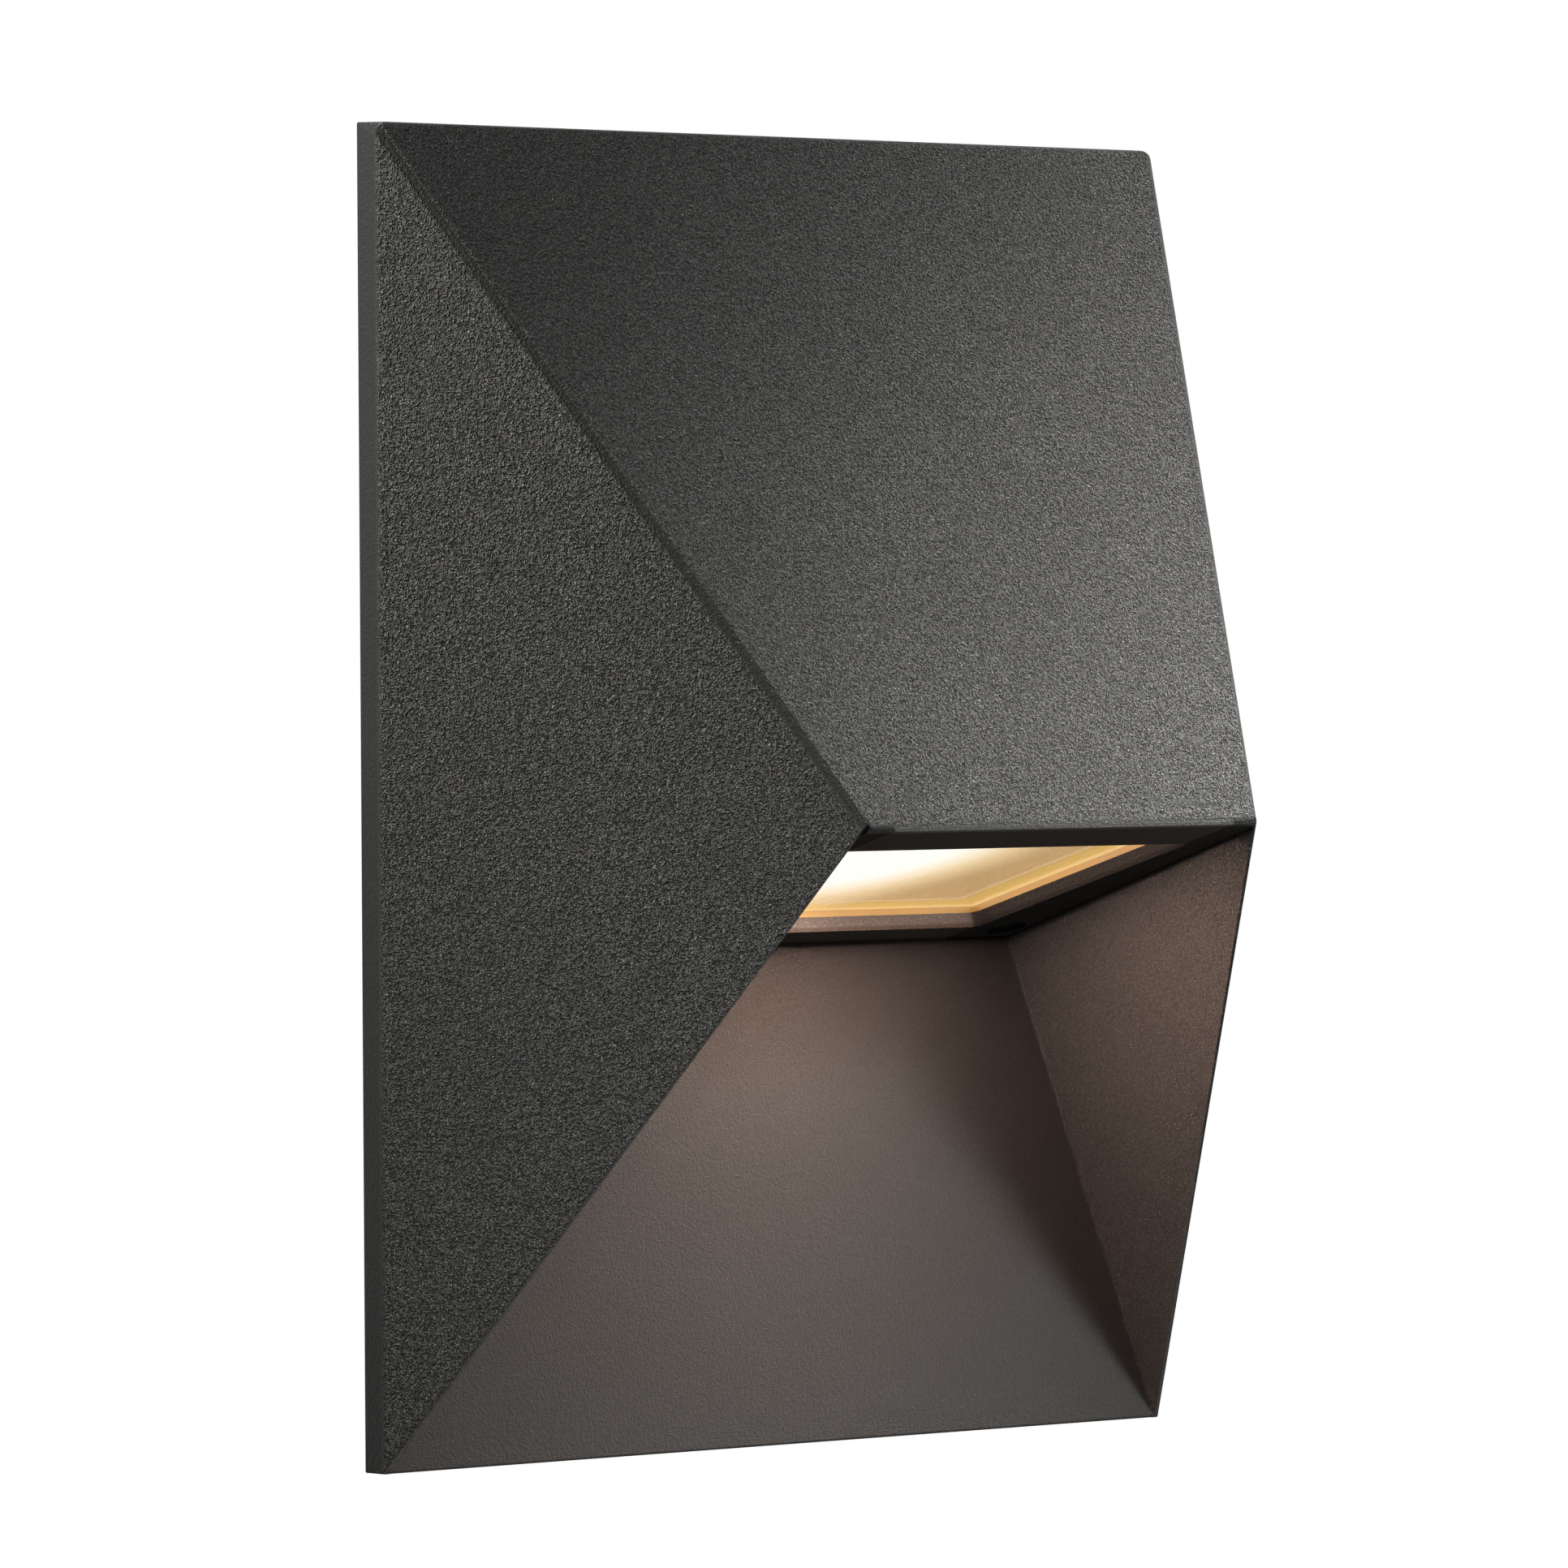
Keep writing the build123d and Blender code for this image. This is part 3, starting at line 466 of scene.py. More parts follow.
class Web:
    """Short calls that lay out one node tree."""

    def __init__(self, tree):
        self.tree = tree
        tree.nodes.clear()

    def node(self, kind, **settings):
        """New node with its settings."""
        node = self.tree.nodes.new(kind)
        for name, value in settings.items():
            setattr(node, name, value)
        return node

    def feed(self, socket, value):
        """Join a socket to another one, or set it to a plain value."""
        if isinstance(value, bpy.types.NodeSocket):
            self.tree.links.new(value, socket)
        else:
            socket.default_value = value

    def calc(self, operation, *values):
        """Result of one sum on numbers or sockets."""
        node = self.node("ShaderNodeMath", operation=operation)
        for socket, value in zip(node.inputs, values):
            self.feed(socket, value)
        return node.outputs[0]

    def ease(self, value, low, high):
        """Smooth rise from 0 at low to 1 at high."""
        node = self.node("ShaderNodeMapRange", interpolation_type="SMOOTHSTEP")
        self.feed(node.inputs["Value"], value)
        self.feed(node.inputs["From Min"], low)
        self.feed(node.inputs["From Max"], high)
        return node.outputs["Result"]

    def span(self, value, low, high):
        """Value between low and high, for a mask from 0 to 1."""
        node = self.node("ShaderNodeMapRange")
        self.feed(node.inputs["Value"], value)
        self.feed(node.inputs["To Min"], low)
        self.feed(node.inputs["To Max"], high)
        return node.outputs["Result"]

    def blend(self, mask, first, second):
        """Colour between first and second."""
        node = self.node("ShaderNodeMix", data_type="RGBA")
        self.feed(node.inputs[0], mask)
        self.feed(node.inputs[6], first)
        self.feed(node.inputs[7], second)
        return node.outputs[2]

    def axes(self, vector):
        """The three parts of a vector."""
        node = self.node("ShaderNodeSeparateXYZ")
        self.feed(node.inputs[0], vector)
        return node.outputs["X"], node.outputs["Y"], node.outputs["Z"]

    def noise(self, vector, scale, detail=2.0, roughness=0.5):
        """Soft noise from 0 to 1."""
        node = self.node("ShaderNodeTexNoise")
        self.feed(node.inputs["Vector"], vector)
        self.feed(node.inputs["Scale"], scale)
        self.feed(node.inputs["Detail"], detail)
        self.feed(node.inputs["Roughness"], roughness)
        return node.outputs["Fac"]

    def group(self, name, **values):
        """Placed node group with its inputs."""
        node = self.node("ShaderNodeGroup", node_tree=bpy.data.node_groups[name])
        for label, value in values.items():
            self.feed(node.inputs[label], value)
        return node.outputs

    def bump(self, height, distance):
        """Normal turned by a height."""
        node = self.node("ShaderNodeBump")
        self.feed(node.inputs["Height"], height)
        self.feed(node.inputs["Distance"], distance)
        self.feed(node.inputs["Strength"], 1.0)
        return node.outputs["Normal"]


def tint(colour, share=1.0):
    """Colour with its brightness scaled, as red, green, blue and one."""
    return tuple(min(1.0, part * share) for part in colour) + (1.0,)


def new_group(name, outputs):
    """Empty node group that takes a place and a size; gives its web, the two inputs and its end."""
    tree = bpy.data.node_groups.new(name, "ShaderNodeTree")
    tree.interface.new_socket("Place", in_out="INPUT", socket_type="NodeSocketVector")
    tree.interface.new_socket("Size", in_out="INPUT", socket_type="NodeSocketFloat")
    for label in outputs:
        tree.interface.new_socket(label, in_out="OUTPUT", socket_type="NodeSocketFloat")
    web = Web(tree)
    start = web.node("NodeGroupInput")
    end = web.node("NodeGroupOutput")
    return web, start.outputs["Place"], start.outputs["Size"], end


def make_groups():
    """The effects that several finishes share."""
    # Grain: bead height; a tone that is painted shade in the pits and painted light on the bead tops;
    # painted glints on the highest beads.
    web, place, size, end = new_group("grain", ("Height", "Tone", "Glint"))
    scale = web.calc("DIVIDE", 1.0, size)
    beads = web.noise(place, scale, detail=0.2)
    swell = web.noise(place, web.calc("MULTIPLY", scale, SWELL_SCALE), detail=1.0)
    web.feed(end.inputs["Height"], web.calc("ADD", beads, web.calc("MULTIPLY", swell, SWELL_HEIGHT)))
    fine = web.calc("MULTIPLY", beads, BEAD_WEIGHT)
    broad = web.calc("MULTIPLY", swell, 1.0 - BEAD_WEIGHT)
    web.feed(end.inputs["Tone"], web.ease(web.calc("ADD", fine, broad), *GRAIN_EDGE))
    web.feed(end.inputs["Glint"], web.ease(beads, *PAINTED_GLINT_EDGE))

    web, place, size, end = new_group("mottle", ("Tone", "Patch"))
    scale = web.calc("DIVIDE", 1.0, size)
    fine = web.noise(place, scale, detail=4.0, roughness=0.6)
    broad = web.noise(place, web.calc("MULTIPLY", scale, PATCH_SCALE), detail=2.0)
    web.feed(end.inputs["Tone"], web.ease(fine, *SPECK_EDGE))
    web.feed(end.inputs["Patch"], web.ease(broad, *PATCH_EDGE))

    web, place, size, end = new_group("streaks", ("Tone", "Height"))
    scale = web.calc("DIVIDE", 1.0, size)
    drawn = web.node("ShaderNodeVectorMath", operation="MULTIPLY")
    web.feed(drawn.inputs[0], place)
    web.feed(drawn.inputs[1], DRAWN_STRETCH)
    lines = web.noise(drawn.outputs["Vector"], scale, detail=3.0, roughness=0.6)
    web.feed(end.inputs["Tone"], web.ease(lines, *SOFT_EDGE))
    web.feed(end.inputs["Height"], lines)

    web, place, size, end = new_group("moulded", ("Tone", "Height"))
    scale = web.calc("DIVIDE", 1.0, size)
    skin = web.noise(place, scale, detail=3.0, roughness=0.55)
    marks = web.noise(place, web.calc("MULTIPLY", scale, FLOW_SCALE), detail=1.0)
    web.feed(end.inputs["Tone"], web.ease(marks, *SOFT_EDGE))
    web.feed(end.inputs["Height"], skin)


def new_material(name, colour):
    """Material with one shader; gives the material, its web, its shader and the object's own place."""
    material = bpy.data.materials.new(name)
    material.use_nodes = True
    material.diffuse_color = tint(colour)
    web = Web(material.node_tree)
    shader = web.node("ShaderNodeBsdfPrincipled")
    output = web.node("ShaderNodeOutputMaterial")
    web.tree.links.new(shader.outputs["BSDF"], output.inputs["Surface"])
    place = web.node("ShaderNodeTexCoord").outputs["Object"]
    return material, web, shader, place


def dress(material, *nodes):
    """Give a material to every slot of the named nodes."""
    for name in nodes:
        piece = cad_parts[name]
        if not piece.material_slots:
            raise RuntimeError("no material slot on " + name)
        for slot in piece.material_slots:
            slot.material = material


def shaded(web, mask, colour, dark, pale):
    """Colour whose brightness a mask moves between two shares."""
    return web.blend(mask, tint(colour, dark), tint(colour, pale))


def around(web, mask, middle, reach):
    """Value that a mask moves about a middle, by a reach to each side."""
    return web.span(mask, middle - reach, middle + reach)


def moulded_finish(name):
    """Moulded plastic or rubber: a fine skin, flow marks and a matt to satin surface."""
    finish = MOULDED[name]
    material, web, shader, place = new_material(name, finish.colour)
    skin = web.group("moulded", Place=place, Size=finish.size)
    shades = shaded(web, skin["Tone"], finish.colour, 1.0 - finish.contrast, 1.0 + finish.contrast)
    web.feed(shader.inputs["Base Color"], shades)
    web.feed(shader.inputs["Roughness"], around(web, skin["Tone"], finish.roughness, MOULDED_RANGE))
    web.feed(shader.inputs["Normal"], web.bump(skin["Height"], finish.height))
    return material


def drawn_finish(name):
    """Rolled or turned metal: fine drawn lines, duller patches."""
    finish = DRAWN[name]
    material, web, shader, place = new_material(name, finish.colour)
    lines = web.group("streaks", Place=place, Size=finish.size)
    spots = web.group("mottle", Place=place, Size=finish.size * DULL_SIZE)
    shades = shaded(web, lines["Tone"], finish.colour, DRAWN_DARK, DRAWN_PALE)
    cover = web.calc("MULTIPLY", spots["Patch"], DULL_COVER)
    shades = web.blend(cover, shades, tint(finish.colour, DRAWN_DULL))
    rough = around(web, lines["Tone"], finish.roughness, DRAWN_RANGE)
    rough = web.calc("ADD", rough, web.calc("MULTIPLY", spots["Patch"], DULL_ROUGH))
    shader.inputs["Metallic"].default_value = 1.0
    web.feed(shader.inputs["Base Color"], shades)
    web.feed(shader.inputs["Roughness"], rough)
    web.feed(shader.inputs["Normal"], web.bump(lines["Height"], finish.height))
    return material


def speckled_finish(name):
    """Board, ceramic or pressed face: fine speckle and broad patches."""
    finish = SPECKLED[name]
    material, web, shader, place = new_material(name, finish.colour)
    spots = web.group("mottle", Place=place, Size=finish.size)
    shades = shaded(web, spots["Tone"], finish.colour, 1.0 - finish.contrast, 1.0 + finish.contrast)
    cover = web.calc("MULTIPLY", spots["Patch"], SPECKLED_COVER)
    shades = web.blend(cover, shades, tint(finish.colour, SPECKLED_DULL))
    web.feed(shader.inputs["Base Color"], shades)
    web.feed(shader.inputs["Roughness"], around(web, spots["Tone"], finish.roughness, SPECKLED_RANGE))
    web.feed(shader.inputs["Normal"], web.bump(spots["Tone"], finish.size * SPECKLED_HEIGHT))
    return material


class CoatZones(NamedTuple):
    """Masks of the coat, each one from 0 to 1."""

    recess: bpy.types.NodeSocket
    shelf: bpy.types.NodeSocket
    jamb_shade: bpy.types.NodeSocket
    rim: bpy.types.NodeSocket
    hip: bpy.types.NodeSocket


def coat_zones(web, place):
    """Zones of the casting, from the planes of its facets, ledge and walls."""
    across, back, up = web.axes(place)
    aside = web.calc("ABSOLUTE", across)
    depth = web.calc("ADD", back, -HOUSING_LOW.y)

    lean = (HOUSING_HIGH.x - HALF_RIDGE) / (HOUSING_HIGH.z - RIDGE_DROP)
    wall = web.calc("MULTIPLY", web.calc("SUBTRACT", -RIDGE_DROP, up), lean)
    wall = web.calc("ADD", HALF_RIDGE, wall)
    inside = web.ease(web.calc("SUBTRACT", aside, wall), *INSIDE_EDGE)

    fall = (LEDGE_REAR_DROP - LEDGE_FRONT_DROP) / LEDGE_REACH
    ledge = web.calc("SUBTRACT", -LEDGE_FRONT_DROP, web.calc("MULTIPLY", depth, fall))
    rise = web.calc("SUBTRACT", up, ledge)
    lips = web.calc("ADD", web.calc("MULTIPLY", depth, LIP_SLOPE), LIP_START)
    lips = web.calc("MINIMUM", LIP_RISE, lips)
    below = web.ease(web.calc("SUBTRACT", rise, lips), *BELOW_EDGE)
    recess = web.calc("MULTIPLY", inside, below)

    # Under the ledge: painted shade in the colour and a matt finish.
    underside = web.calc("MULTIPLY", inside, web.ease(depth, *BEHIND_EDGE))
    near_ledge = web.ease(web.calc("ABSOLUTE", rise), *SHELF_EDGE)
    shelf = web.calc("MULTIPLY", underside, near_ledge)

    # Window jambs beside the pane: painted shade.
    over_ledge = web.calc("MULTIPLY", recess, web.ease(rise, *OVER_EDGE))
    jamb_shade = web.calc("MULTIPLY", over_ledge, web.ease(aside, *JAMB_EDGE))

    rim = web.ease(back, *RIM_EDGE)

    top_slope = LEDGE_REACH / (HOUSING_HIGH.z + RIDGE_DROP)
    side_slope = LEDGE_REACH / (HOUSING_HIGH.x - HALF_RIDGE)
    top_depth = web.calc("MULTIPLY", web.calc("SUBTRACT", HOUSING_HIGH.z, up), top_slope)
    side_depth = web.calc("MULTIPLY", web.calc("SUBTRACT", HOUSING_HIGH.x, aside), side_slope)
    apart = web.calc("ABSOLUTE", web.calc("SUBTRACT", top_depth, side_depth))
    hip = web.calc("MULTIPLY", web.ease(apart, *HIP_EDGE), web.ease(up, *RIDGE_EDGE))
    return CoatZones(recess, shelf, jamb_shade, rim, hip)


def coat_material(settings):
    """Grained powder coat: full grain on the facets, flowed out on the hips, rim and recess; its colour
    holds painted shade in the pits, along the hips, in the window jambs and under the ledge, painted light
    on the beads and painted glints, and is darker on the rim.
    """
    material, web, shader, place = new_material("powder_coat", settings.colour)
    zones = coat_zones(web, place)
    even = web.calc("MAXIMUM", zones.recess, zones.rim)
    even = web.calc("MAXIMUM", even, web.calc("MULTIPLY", zones.hip, HIP_EVEN))
    amount = web.span(even, 1.0, settings.recess_grain)

    grain = web.group("grain", Place=place, Size=settings.grain_size)
    spots = web.group("mottle", Place=place, Size=PATCH_SIZE)
    # Painted shade in the pits and painted light on the bead tops, less where the coat flowed out.
    shade = web.calc("MULTIPLY", web.calc("SUBTRACT", grain["Tone"], 0.5), amount)
    shade = web.calc("ADD", shade, 0.5)
    # Painted glints: pale specks on the bead tops in the colour.
    painted_glint = web.calc("MULTIPLY", grain["Glint"], amount)
    patch = web.calc("MULTIPLY", spots["Patch"], PATCH_COVER)
    # Painted shade along the hips, and darker colour on the rim.
    hip_shade_dark_rim = web.calc("MULTIPLY", web.calc("MAXIMUM", zones.rim, zones.hip), ZONE_COVER)
    # Painted shade with a warm reflected tint under the ledge.
    shelf = web.calc("MULTIPLY", zones.shelf, ZONE_COVER)
    # Painted shade on the window jambs.
    jamb_shade = web.calc("MULTIPLY", zones.jamb_shade, ZONE_COVER)
    shades = shaded(web, shade, settings.colour, PIT_SHADE_SHARE, BEAD_LIGHT_SHARE)
    shades = web.blend(painted_glint, shades, tint(settings.colour, PAINTED_GLINT_SHARE))
    shades = web.blend(patch, shades, tint(settings.colour, PATCH_SHARE))
    shades = web.blend(hip_shade_dark_rim, shades, tint(settings.colour, HIP_SHADE_RIM_SHARE))
    shades = web.blend(shelf, shades, tint(SHELF_SHADE_COLOUR))
    shades = web.blend(jamb_shade, shades, tint(settings.colour, JAMB_SHADE_SHARE))
    web.feed(shader.inputs["Base Color"], shades)

    satin = web.span(spots["Tone"], *SATIN)
    matt = web.calc("MULTIPLY", zones.recess, RECESS_MATT)
    matt = web.calc("ADD", matt, web.calc("MULTIPLY", zones.shelf, SHELF_MATT))
    web.feed(shader.inputs["Roughness"], web.calc("ADD", satin, matt))
    shader.inputs["Specular IOR Level"].default_value = COAT_GLOSS
    height = web.calc("MULTIPLY", grain["Height"], amount)
    web.feed(shader.inputs["Normal"], web.bump(height, settings.grain_height))
    return material


def squared_reach(web, across, along, middle, reach):
    """Squared distance from a middle, in shares of a reach across and along the pane."""
    first = web.calc("DIVIDE", web.calc("SUBTRACT", across, middle[0]), reach[0])
    second = web.calc("DIVIDE", web.calc("SUBTRACT", along, middle[1]), reach[1])
    return web.calc("ADD", web.calc("POWER", first, 2.0), web.calc("POWER", second, 2.0))


def pane_pattern(web, across, along, ripple, settings):
    """Colour that the pane shows: a white middle, a fringe, tan sides and a golden border with two painted
    highlight lines.
    """
    away = web.calc("SQRT", squared_reach(web, across, along, GLOW_MIDDLE, GLOW_REACH))
    away = web.calc("ADD", away, web.calc("MULTIPLY", ripple["Tone"], RIPPLE_SHIFT))
    edge_across = web.calc("DIVIDE", web.calc("ABSOLUTE", across), WINDOW_HALF_WIDTH)
    edge_along = web.calc("DIVIDE", web.calc("ABSOLUTE", along), WINDOW_HALF_LENGTH)
    edge = web.calc("MAXIMUM", edge_across, edge_along)
    # An inner line and the outer edge of the border: painted highlights.
    line = web.calc("MULTIPLY", web.ease(edge, *LINE_RISE), web.ease(edge, *LINE_FALL))
    line = web.calc("MULTIPLY", line, LINE_SHARE)
    bright = web.calc("MULTIPLY", web.ease(edge, *BRIGHT_EDGE), LINE_SHARE)
    shades = web.blend(web.ease(edge, *BORDER_EDGE), tint(settings.tan), tint(settings.gold))
    shades = web.blend(line, shades, tint(settings.warm))
    shades = web.blend(bright, shades, tint(settings.warm))
    shades = web.blend(web.ease(away, *FRINGE_EDGE), shades, tint(settings.warm))
    return web.blend(web.ease(away, *HOT_EDGE), shades, tint(settings.hot))


def pane_beam(web, across, along, settings):
    """Light that the pane throws: a bell round the source and a weak even rest."""
    bell = squared_reach(web, across, along, SOURCE_MIDDLE, SOURCE_REACH)
    bell = web.calc("EXPONENT", web.calc("MULTIPLY", bell, SOURCE_FALL))
    level = web.calc("MULTIPLY", web.calc("ADD", bell, SOURCE_REST), settings.strength)
    beam = web.node("ShaderNodeVectorMath", operation="SCALE")
    web.feed(beam.inputs[0], tuple(settings.cast))
    web.feed(beam.inputs["Scale"], level)
    return beam.outputs["Vector"]


def pane_material(settings):
    """Lit pane: its pattern for the camera, its beam for the rays that light the recess."""
    material, web, shader, place = new_material("frosted_glass", GLASS_COLOUR)
    tilt = math.atan2(LEDGE_REAR_DROP - LEDGE_FRONT_DROP, LEDGE_REACH)
    turn = web.node("ShaderNodeMapping", vector_type="TEXTURE")
    web.feed(turn.inputs["Vector"], place)
    turn.inputs["Location"].default_value = (PANE_LOW + PANE_HIGH) / 2
    turn.inputs["Rotation"].default_value = (-tilt, 0.0, 0.0)
    across, along, _ = web.axes(turn.outputs["Vector"])
    ripple = web.group("mottle", Place=place, Size=RIPPLE_SIZE)
    pattern = pane_pattern(web, across, along, ripple, settings)
    beam = pane_beam(web, across, along, settings)
    seen = web.node("ShaderNodeLightPath").outputs["Is Camera Ray"]
    glass = web.blend(ripple["Tone"], tint(GLASS_DARK), tint(GLASS_PALE))
    web.feed(shader.inputs["Base Color"], glass)
    web.feed(shader.inputs["Roughness"], web.span(ripple["Tone"], *GLASS_SATIN))
    web.feed(shader.inputs["Emission Color"], web.blend(seen, beam, pattern))
    shader.inputs["Emission Strength"].default_value = 1.0
    web.feed(shader.inputs["Normal"], web.bump(ripple["Tone"], GLASS_HEIGHT))
    return material


def earth_material():
    """Green lead sleeve with yellow bands that wind round it."""
    material, web, shader, place = new_material("lead_green", SLEEVE_GREEN)
    bands = web.node("ShaderNodeTexWave", wave_type="BANDS", bands_direction="DIAGONAL")
    web.feed(bands.inputs["Vector"], place)
    web.feed(bands.inputs["Scale"], BAND_SCALE)
    web.feed(bands.inputs["Distortion"], 0.0)
    stripe = web.ease(bands.outputs["Fac"], *BAND_EDGE)
    skin = web.group("moulded", Place=place, Size=SLEEVE_SIZE)
    shades = web.blend(stripe, tint(SLEEVE_GREEN), tint(SLEEVE_YELLOW))
    cover = web.calc("MULTIPLY", skin["Tone"], SLEEVE_COVER)
    shades = web.blend(cover, shades, tint(SLEEVE_GREEN, SLEEVE_DULL))
    web.feed(shader.inputs["Base Color"], shades)
    web.feed(shader.inputs["Roughness"], web.span(skin["Tone"], *SLEEVE_SATIN))
    web.feed(shader.inputs["Normal"], web.bump(skin["Height"], SLEEVE_HEIGHT))
    return material


def thread_surface(middle, low, high, settings):
    """Points and faces of a cut thread on an upright core.

    At the angle a and the height h the radius is the core plus a triangle wave of the turns h / pitch
    minus a / one turn. Over one pitch at both ends the wave fades to nothing and the core narrows by
    the relief, and there the tube closes on its axis.
    """
    rings = int(round((high - low) / settings.pitch * THREAD_RINGS)) + 1
    angle = np.linspace(0.0, 2.0 * np.pi, settings.steps, endpoint=False)
    height = np.linspace(low, high, rings)
    turn, rise = np.meshgrid(angle, height)
    phase = np.mod((rise - low) / settings.pitch - turn / (2.0 * np.pi), 1.0)
    wave = 1.0 - np.abs(2.0 * phase - 1.0)
    fade = np.clip(np.minimum(rise - low, high - rise) / settings.pitch, 0.0, 1.0)
    radius = settings.core - THREAD_RELIEF * (1.0 - fade)
    radius = radius + (settings.crest - settings.core) * wave * fade
    ring_points = np.stack(
        (middle.x + radius * np.cos(turn), middle.y + radius * np.sin(turn), rise), axis=-1)
    ends = np.array([[middle.x, middle.y, low], [middle.x, middle.y, high]])
    points = np.concatenate((ring_points.reshape(-1, 3), ends))
    steps = settings.steps
    column = np.arange(steps)
    following = np.roll(column, -1)
    row = (np.arange(rings - 1) * steps)[:, None]
    quads = np.stack(
        (row + column, row + following, row + steps + following, row + steps + column), axis=-1)
    foot = np.full(steps, rings * steps)
    last = (rings - 1) * steps
    fan_low = np.stack((foot, following, column), axis=-1)
    fan_high = np.stack((foot + 1, last + column, last + following), axis=-1)
    return points, quads.reshape(-1, 4).tolist() + fan_low.tolist() + fan_high.tolist()


def new_piece(name, points, faces, material):
    """Mesh object at the origin with its place in its mesh."""
    mesh = bpy.data.meshes.new(name)
    mesh.from_pydata(points.tolist(), [], faces)
    mesh.validate()
    mesh.materials.append(material)
    piece = bpy.data.objects.new(name, mesh)
    bpy.context.scene.collection.objects.link(piece)
    return piece


class WALLLIGHT_OT_casting(bpy.types.Operator):
    """Coat the casting"""

    bl_idname = "wall_light.casting"
    bl_label = "Coat the casting"

    def execute(self, context):
        dress(coat_material(context.scene.wall_light_coat), "front_housing")
        return {"FINISHED"}


class WALLLIGHT_OT_window(bpy.types.Operator):
    """Light the window and finish its seal"""

    bl_idname = "wall_light.window"
    bl_label = "Light the window"

    def execute(self, context):
        dress(pane_material(context.scene.wall_light_glow), "glass_pane")
        dress(moulded_finish("seal_silicone"), "glass_gasket")
        dress(moulded_finish("seal_rubber"), "cable_grommet", "lead_bush")
        return {"FINISHED"}


class WALLLIGHT_OT_engine(bpy.types.Operator):
    """Finish the light engine above the window and the driver's shell"""

    bl_idname = "wall_light.engine"
    bl_label = "Finish the light engine"

    def execute(self, context):
        dress(moulded_finish("white_plastic"), "reflector", "driver_case", "driver_lid")
        dress(speckled_finish("board_white"), "led_board")
        dress(speckled_finish("chip_yellow"), "led_chips")
        dress(speckled_finish("pad_grey"), "thermal_pad")
        dress(drawn_finish("bare_aluminium"), "led_carrier")
        return {"FINISHED"}


class WALLLIGHT_OT_gear(bpy.types.Operator):
    """Finish the driver's board and what stands on it"""

    bl_idname = "wall_light.gear"
    bl_label = "Finish the gear"

    def execute(self, context):
        dress(speckled_finish("board_green"), "driver_board")
        dress(speckled_finish("ferrite"), "driver_transformer")
        dress(moulded_finish("capacitor_box"), "driver_capacitors")
        return {"FINISHED"}


class WALLLIGHT_OT_terminals(bpy.types.Operator):
    """Finish the terminal block, its release buttons and its springs"""

    bl_idname = "wall_light.terminals"
    bl_label = "Finish the terminals"

    def execute(self, context):
        dress(moulded_finish("terminal_grey"), "terminal_block")
        dress(moulded_finish("button_green"), "terminal_button_earth")
        dress(moulded_finish("button_orange"), "terminal_button_live")
        dress(moulded_finish("button_blue"), "terminal_button_neutral")
        dress(drawn_finish("spring_steel"), "terminal_springs", "earth_washer")
        return {"FINISHED"}


class WALLLIGHT_OT_leads(bpy.types.Operator):
    """Finish the insulated leads and the earth point"""

    bl_idname = "wall_light.leads"
    bl_label = "Finish the leads"

    def execute(self, context):
        dress(moulded_finish("lead_brown"), "live_lead")
        dress(moulded_finish("lead_blue"), "neutral_lead")
        dress(moulded_finish("lead_red"), "led_lead_positive")
        dress(moulded_finish("lead_black"), "led_lead_negative")
        dress(earth_material(), "earth_lead")
        dress(drawn_finish("plated_brass"), "earth_lug")
        dress(drawn_finish("screw_brass"), "earth_screw")
        return {"FINISHED"}


class WALLLIGHT_OT_sheet(bpy.types.Operator):
    """Finish the sheet parts and the inner screws"""

    bl_idname = "wall_light.sheet"
    bl_label = "Finish sheet parts and screws"

    def execute(self, context):
        dress(drawn_finish("zinc_sheet"), "wall_bracket", "gear_tray", "clamp_plate_left",
              "clamp_plate_right")
        dress(drawn_finish("screw_steel"), "carrier_screws", "board_screws", "tray_screws",
              "driver_screws", "terminal_screws")
        return {"FINISHED"}


class WALLLIGHT_OT_retaining(bpy.types.Operator):
    """Blacken the retaining screws and cut their threads"""

    bl_idname = "wall_light.retaining"
    bl_label = "Cut the retaining screws"

    def execute(self, context):
        settings = context.scene.wall_light_thread
        black = drawn_finish("black_screw")
        for side in ("left", "right"):
            body = "retaining_screw_" + side
            dress(black, body)
            low, high = (Vector(corner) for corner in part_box(body))
            tip = high.z - THREAD_TIP
            points, faces = thread_surface((low + high) / 2, tip - settings.length, tip, settings)
            thread = new_piece("retaining_thread_" + side, points, faces, black)
            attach(thread, body)
        return {"FINISHED"}


def new_lamp(lamp):
    """Soft square lamp that looks at its target and stays out of sight."""
    data = bpy.data.lights.new(lamp.name, "AREA")
    data.shape = "SQUARE"
    data.size = lamp.side
    data.energy = lamp.power
    data.spread = math.radians(lamp.spread)
    source = bpy.data.objects.new(lamp.name, data)
    source.location = lamp.place
    line = Vector(lamp.target) - Vector(lamp.place)
    source.rotation_euler = line.to_track_quat("-Z", "Y").to_euler()
    source.visible_camera = False
    bpy.context.scene.collection.objects.link(source)


def floor_surface(height):
    """Flat square: its height is constant over both directions."""
    grid = np.linspace(-FLOOR_HALF, FLOOR_HALF, FLOOR_SQUARES + 1)
    first, second = np.meshgrid(grid, grid)
    points = np.stack((first, second, np.full_like(first, height)), axis=-1).reshape(-1, 3)
    row = FLOOR_SQUARES + 1
    square = np.arange(FLOOR_SQUARES)
    corner = (square[:, None] * row + square).reshape(-1)
    faces = np.stack((corner, corner + 1, corner + row + 1, corner + row), axis=-1)
    return points, faces.tolist()


def seen_ray(web):
    """One for rays from the camera, a mirror or glass, and zero for the rest."""
    path = web.node("ShaderNodeLightPath")
    mirrored = web.calc("MAXIMUM", path.outputs["Is Camera Ray"], path.outputs["Is Glossy Ray"])
    return web.calc("MAXIMUM", mirrored, path.outputs["Is Transmission Ray"])


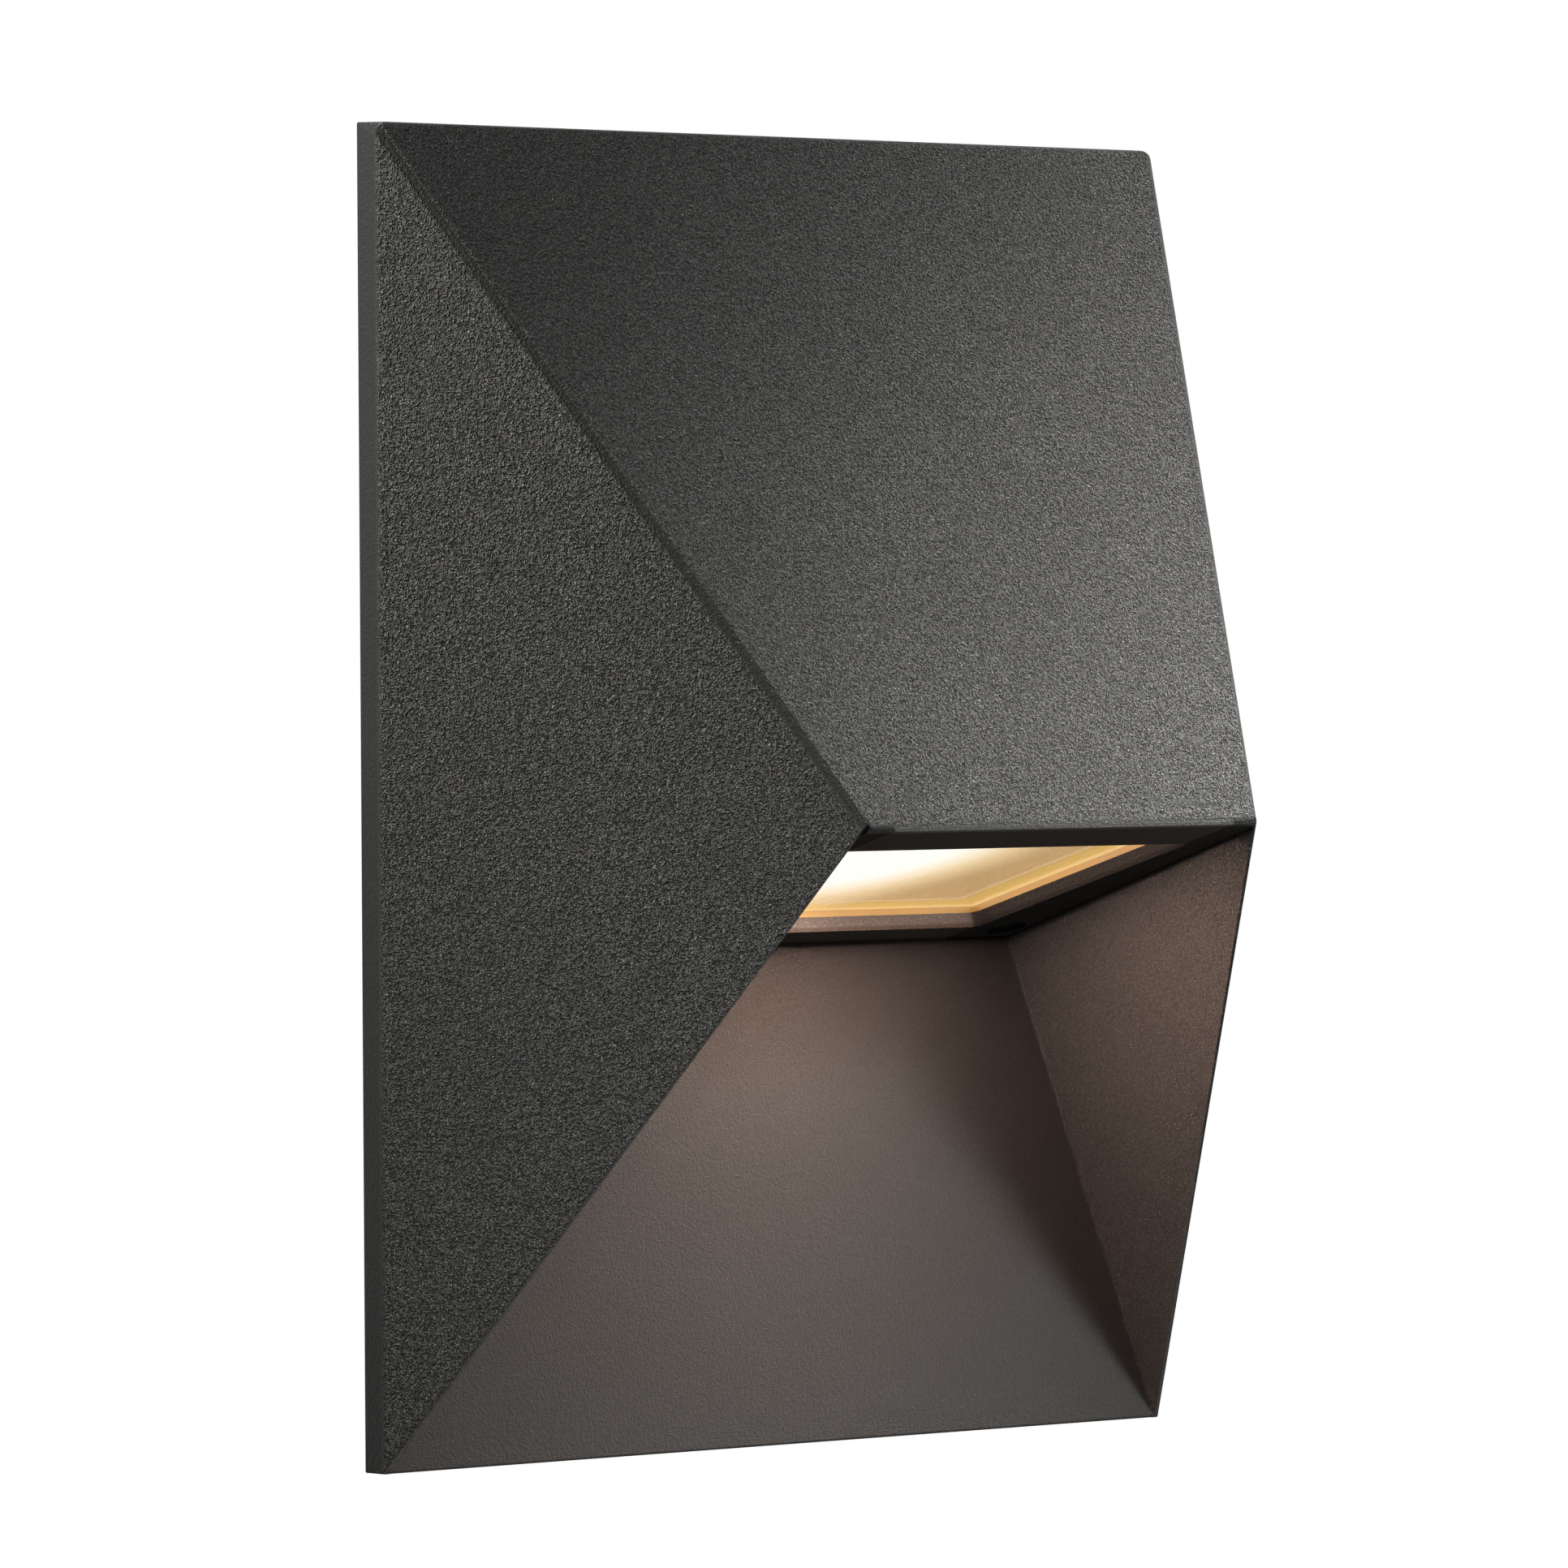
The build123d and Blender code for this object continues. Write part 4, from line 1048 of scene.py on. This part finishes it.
class WALLLIGHT_OT_stage(bpy.types.Operator):
    """Set the floor, the lamps, the white room and the camera"""

    bl_idname = "wall_light.stage"
    bl_label = "Set the stage"

    def execute(self, context):
        scene = context.scene
        settings = scene.wall_light_stage
        self.lay_floor(settings)
        self.light_room(scene, settings)
        self.place_camera(scene, settings)
        scene.view_settings.view_transform = "Standard"
        return {"FINISHED"}

    def lay_floor(self, settings):
        """Pale floor that shows white, keeps the light's shadow and is clear from below."""
        material = bpy.data.materials.new("floor")
        material.use_nodes = True
        web = Web(material.node_tree)
        matt = web.node("ShaderNodeBsdfDiffuse")
        web.feed(matt.inputs["Color"], tint(settings.floor_colour))
        shine = web.node("ShaderNodeEmission")
        web.feed(shine.inputs["Strength"], web.calc("MULTIPLY", seen_ray(web), FLOOR_SHINE))
        both = web.node("ShaderNodeAddShader")
        web.feed(both.inputs[0], matt.outputs["BSDF"])
        web.feed(both.inputs[1], shine.outputs["Emission"])
        sides = web.node("ShaderNodeMixShader")
        web.feed(sides.inputs[0], web.node("ShaderNodeNewGeometry").outputs["Backfacing"])
        web.feed(sides.inputs[1], both.outputs["Shader"])
        web.feed(sides.inputs[2], web.node("ShaderNodeBsdfTransparent").outputs["BSDF"])
        output = web.node("ShaderNodeOutputMaterial")
        web.feed(output.inputs["Surface"], sides.outputs["Shader"])
        points, faces = floor_surface(CAD_BOX[0][2] - settings.floor_drop)
        new_piece("floor", points, faces, material)

    def light_room(self, scene, settings):
        """White room with the soft lamps: upper right, left, front and rear."""
        world = bpy.data.worlds.new("room")
        world.use_nodes = True
        web = Web(world.node_tree)
        room = web.node("ShaderNodeBackground")
        web.feed(room.inputs["Color"], (1.0, 1.0, 1.0, 1.0))
        web.feed(room.inputs["Strength"], web.span(seen_ray(web), settings.ambient, 1.0))
        output = web.node("ShaderNodeOutputWorld")
        web.feed(output.inputs["Surface"], room.outputs["Background"])
        scene.world = world
        for lamp in LAMPS:
            new_lamp(lamp)

    def place_camera(self, scene, settings):
        """Camera on the photographed line of sight, with its roll and its offset."""
        turn, tilt, roll = settings.view_turn, settings.view_tilt, settings.view_roll
        right = Vector((math.cos(turn), -math.sin(turn), 0.0))
        level = Vector((math.sin(turn), math.cos(turn), 0.0))
        upright = Vector((0.0, 0.0, 1.0))
        ahead = level * math.cos(tilt) + upright * math.sin(tilt)
        above = upright * math.cos(tilt) - level * math.sin(tilt)
        place = -ahead * settings.view_distance - right * settings.aside[0] - above * settings.aside[1]
        side = right * math.cos(roll) - above * math.sin(roll)
        top = right * math.sin(roll) + above * math.cos(roll)
        data = bpy.data.cameras.new("view")
        data.sensor_width = SENSOR_WIDTH
        data.lens = settings.lens
        data.clip_start = NEAR_LIMIT
        camera = bpy.data.objects.new("view", data)
        camera.matrix_world = Matrix((
            (side.x, top.x, -ahead.x, place.x),
            (side.y, top.y, -ahead.y, place.y),
            (side.z, top.z, -ahead.z, place.z),
            (0.0, 0.0, 0.0, 1.0),
        ))
        scene.collection.objects.link(camera)
        scene.camera = camera


OPERATORS = (
    WALLLIGHT_OT_casting,
    WALLLIGHT_OT_window,
    WALLLIGHT_OT_engine,
    WALLLIGHT_OT_gear,
    WALLLIGHT_OT_terminals,
    WALLLIGHT_OT_leads,
    WALLLIGHT_OT_sheet,
    WALLLIGHT_OT_retaining,
    WALLLIGHT_OT_stage,
)

SETTINGS = {
    "wall_light_coat": CoatSettings,
    "wall_light_glow": GlowSettings,
    "wall_light_thread": ThreadSettings,
    "wall_light_stage": StageSettings,
}


class WALLLIGHT_PT_panel(bpy.types.Panel):
    """Steps of the wall light, in order"""

    bl_idname = "WALLLIGHT_PT_panel"
    bl_label = "Wall light"
    bl_space_type = "VIEW_3D"
    bl_region_type = "UI"
    bl_category = "Wall Light"

    def draw(self, context):
        for step in OPERATORS:
            self.layout.operator(step.bl_idname)


def register():
    """Add the settings, the steps and the panel."""
    for name, group in SETTINGS.items():
        bpy.utils.register_class(group)
        setattr(bpy.types.Scene, name, PointerProperty(type=group))
    for step in OPERATORS:
        bpy.utils.register_class(step)
    bpy.utils.register_class(WALLLIGHT_PT_panel)


def unregister():
    """Take the panel, the steps and the settings away again."""
    bpy.utils.unregister_class(WALLLIGHT_PT_panel)
    for step in reversed(OPERATORS):
        bpy.utils.unregister_class(step)
    for name, group in SETTINGS.items():
        delattr(bpy.types.Scene, name)
        bpy.utils.unregister_class(group)


def main():
    """Run every step in order."""
    register()
    make_groups()
    bpy.ops.wall_light.casting()
    bpy.ops.wall_light.window()
    bpy.ops.wall_light.engine()
    bpy.ops.wall_light.gear()
    bpy.ops.wall_light.terminals()
    bpy.ops.wall_light.leads()
    bpy.ops.wall_light.sheet()
    bpy.ops.wall_light.retaining()
    bpy.ops.wall_light.stage()


if __name__ == "__main__":
    main()
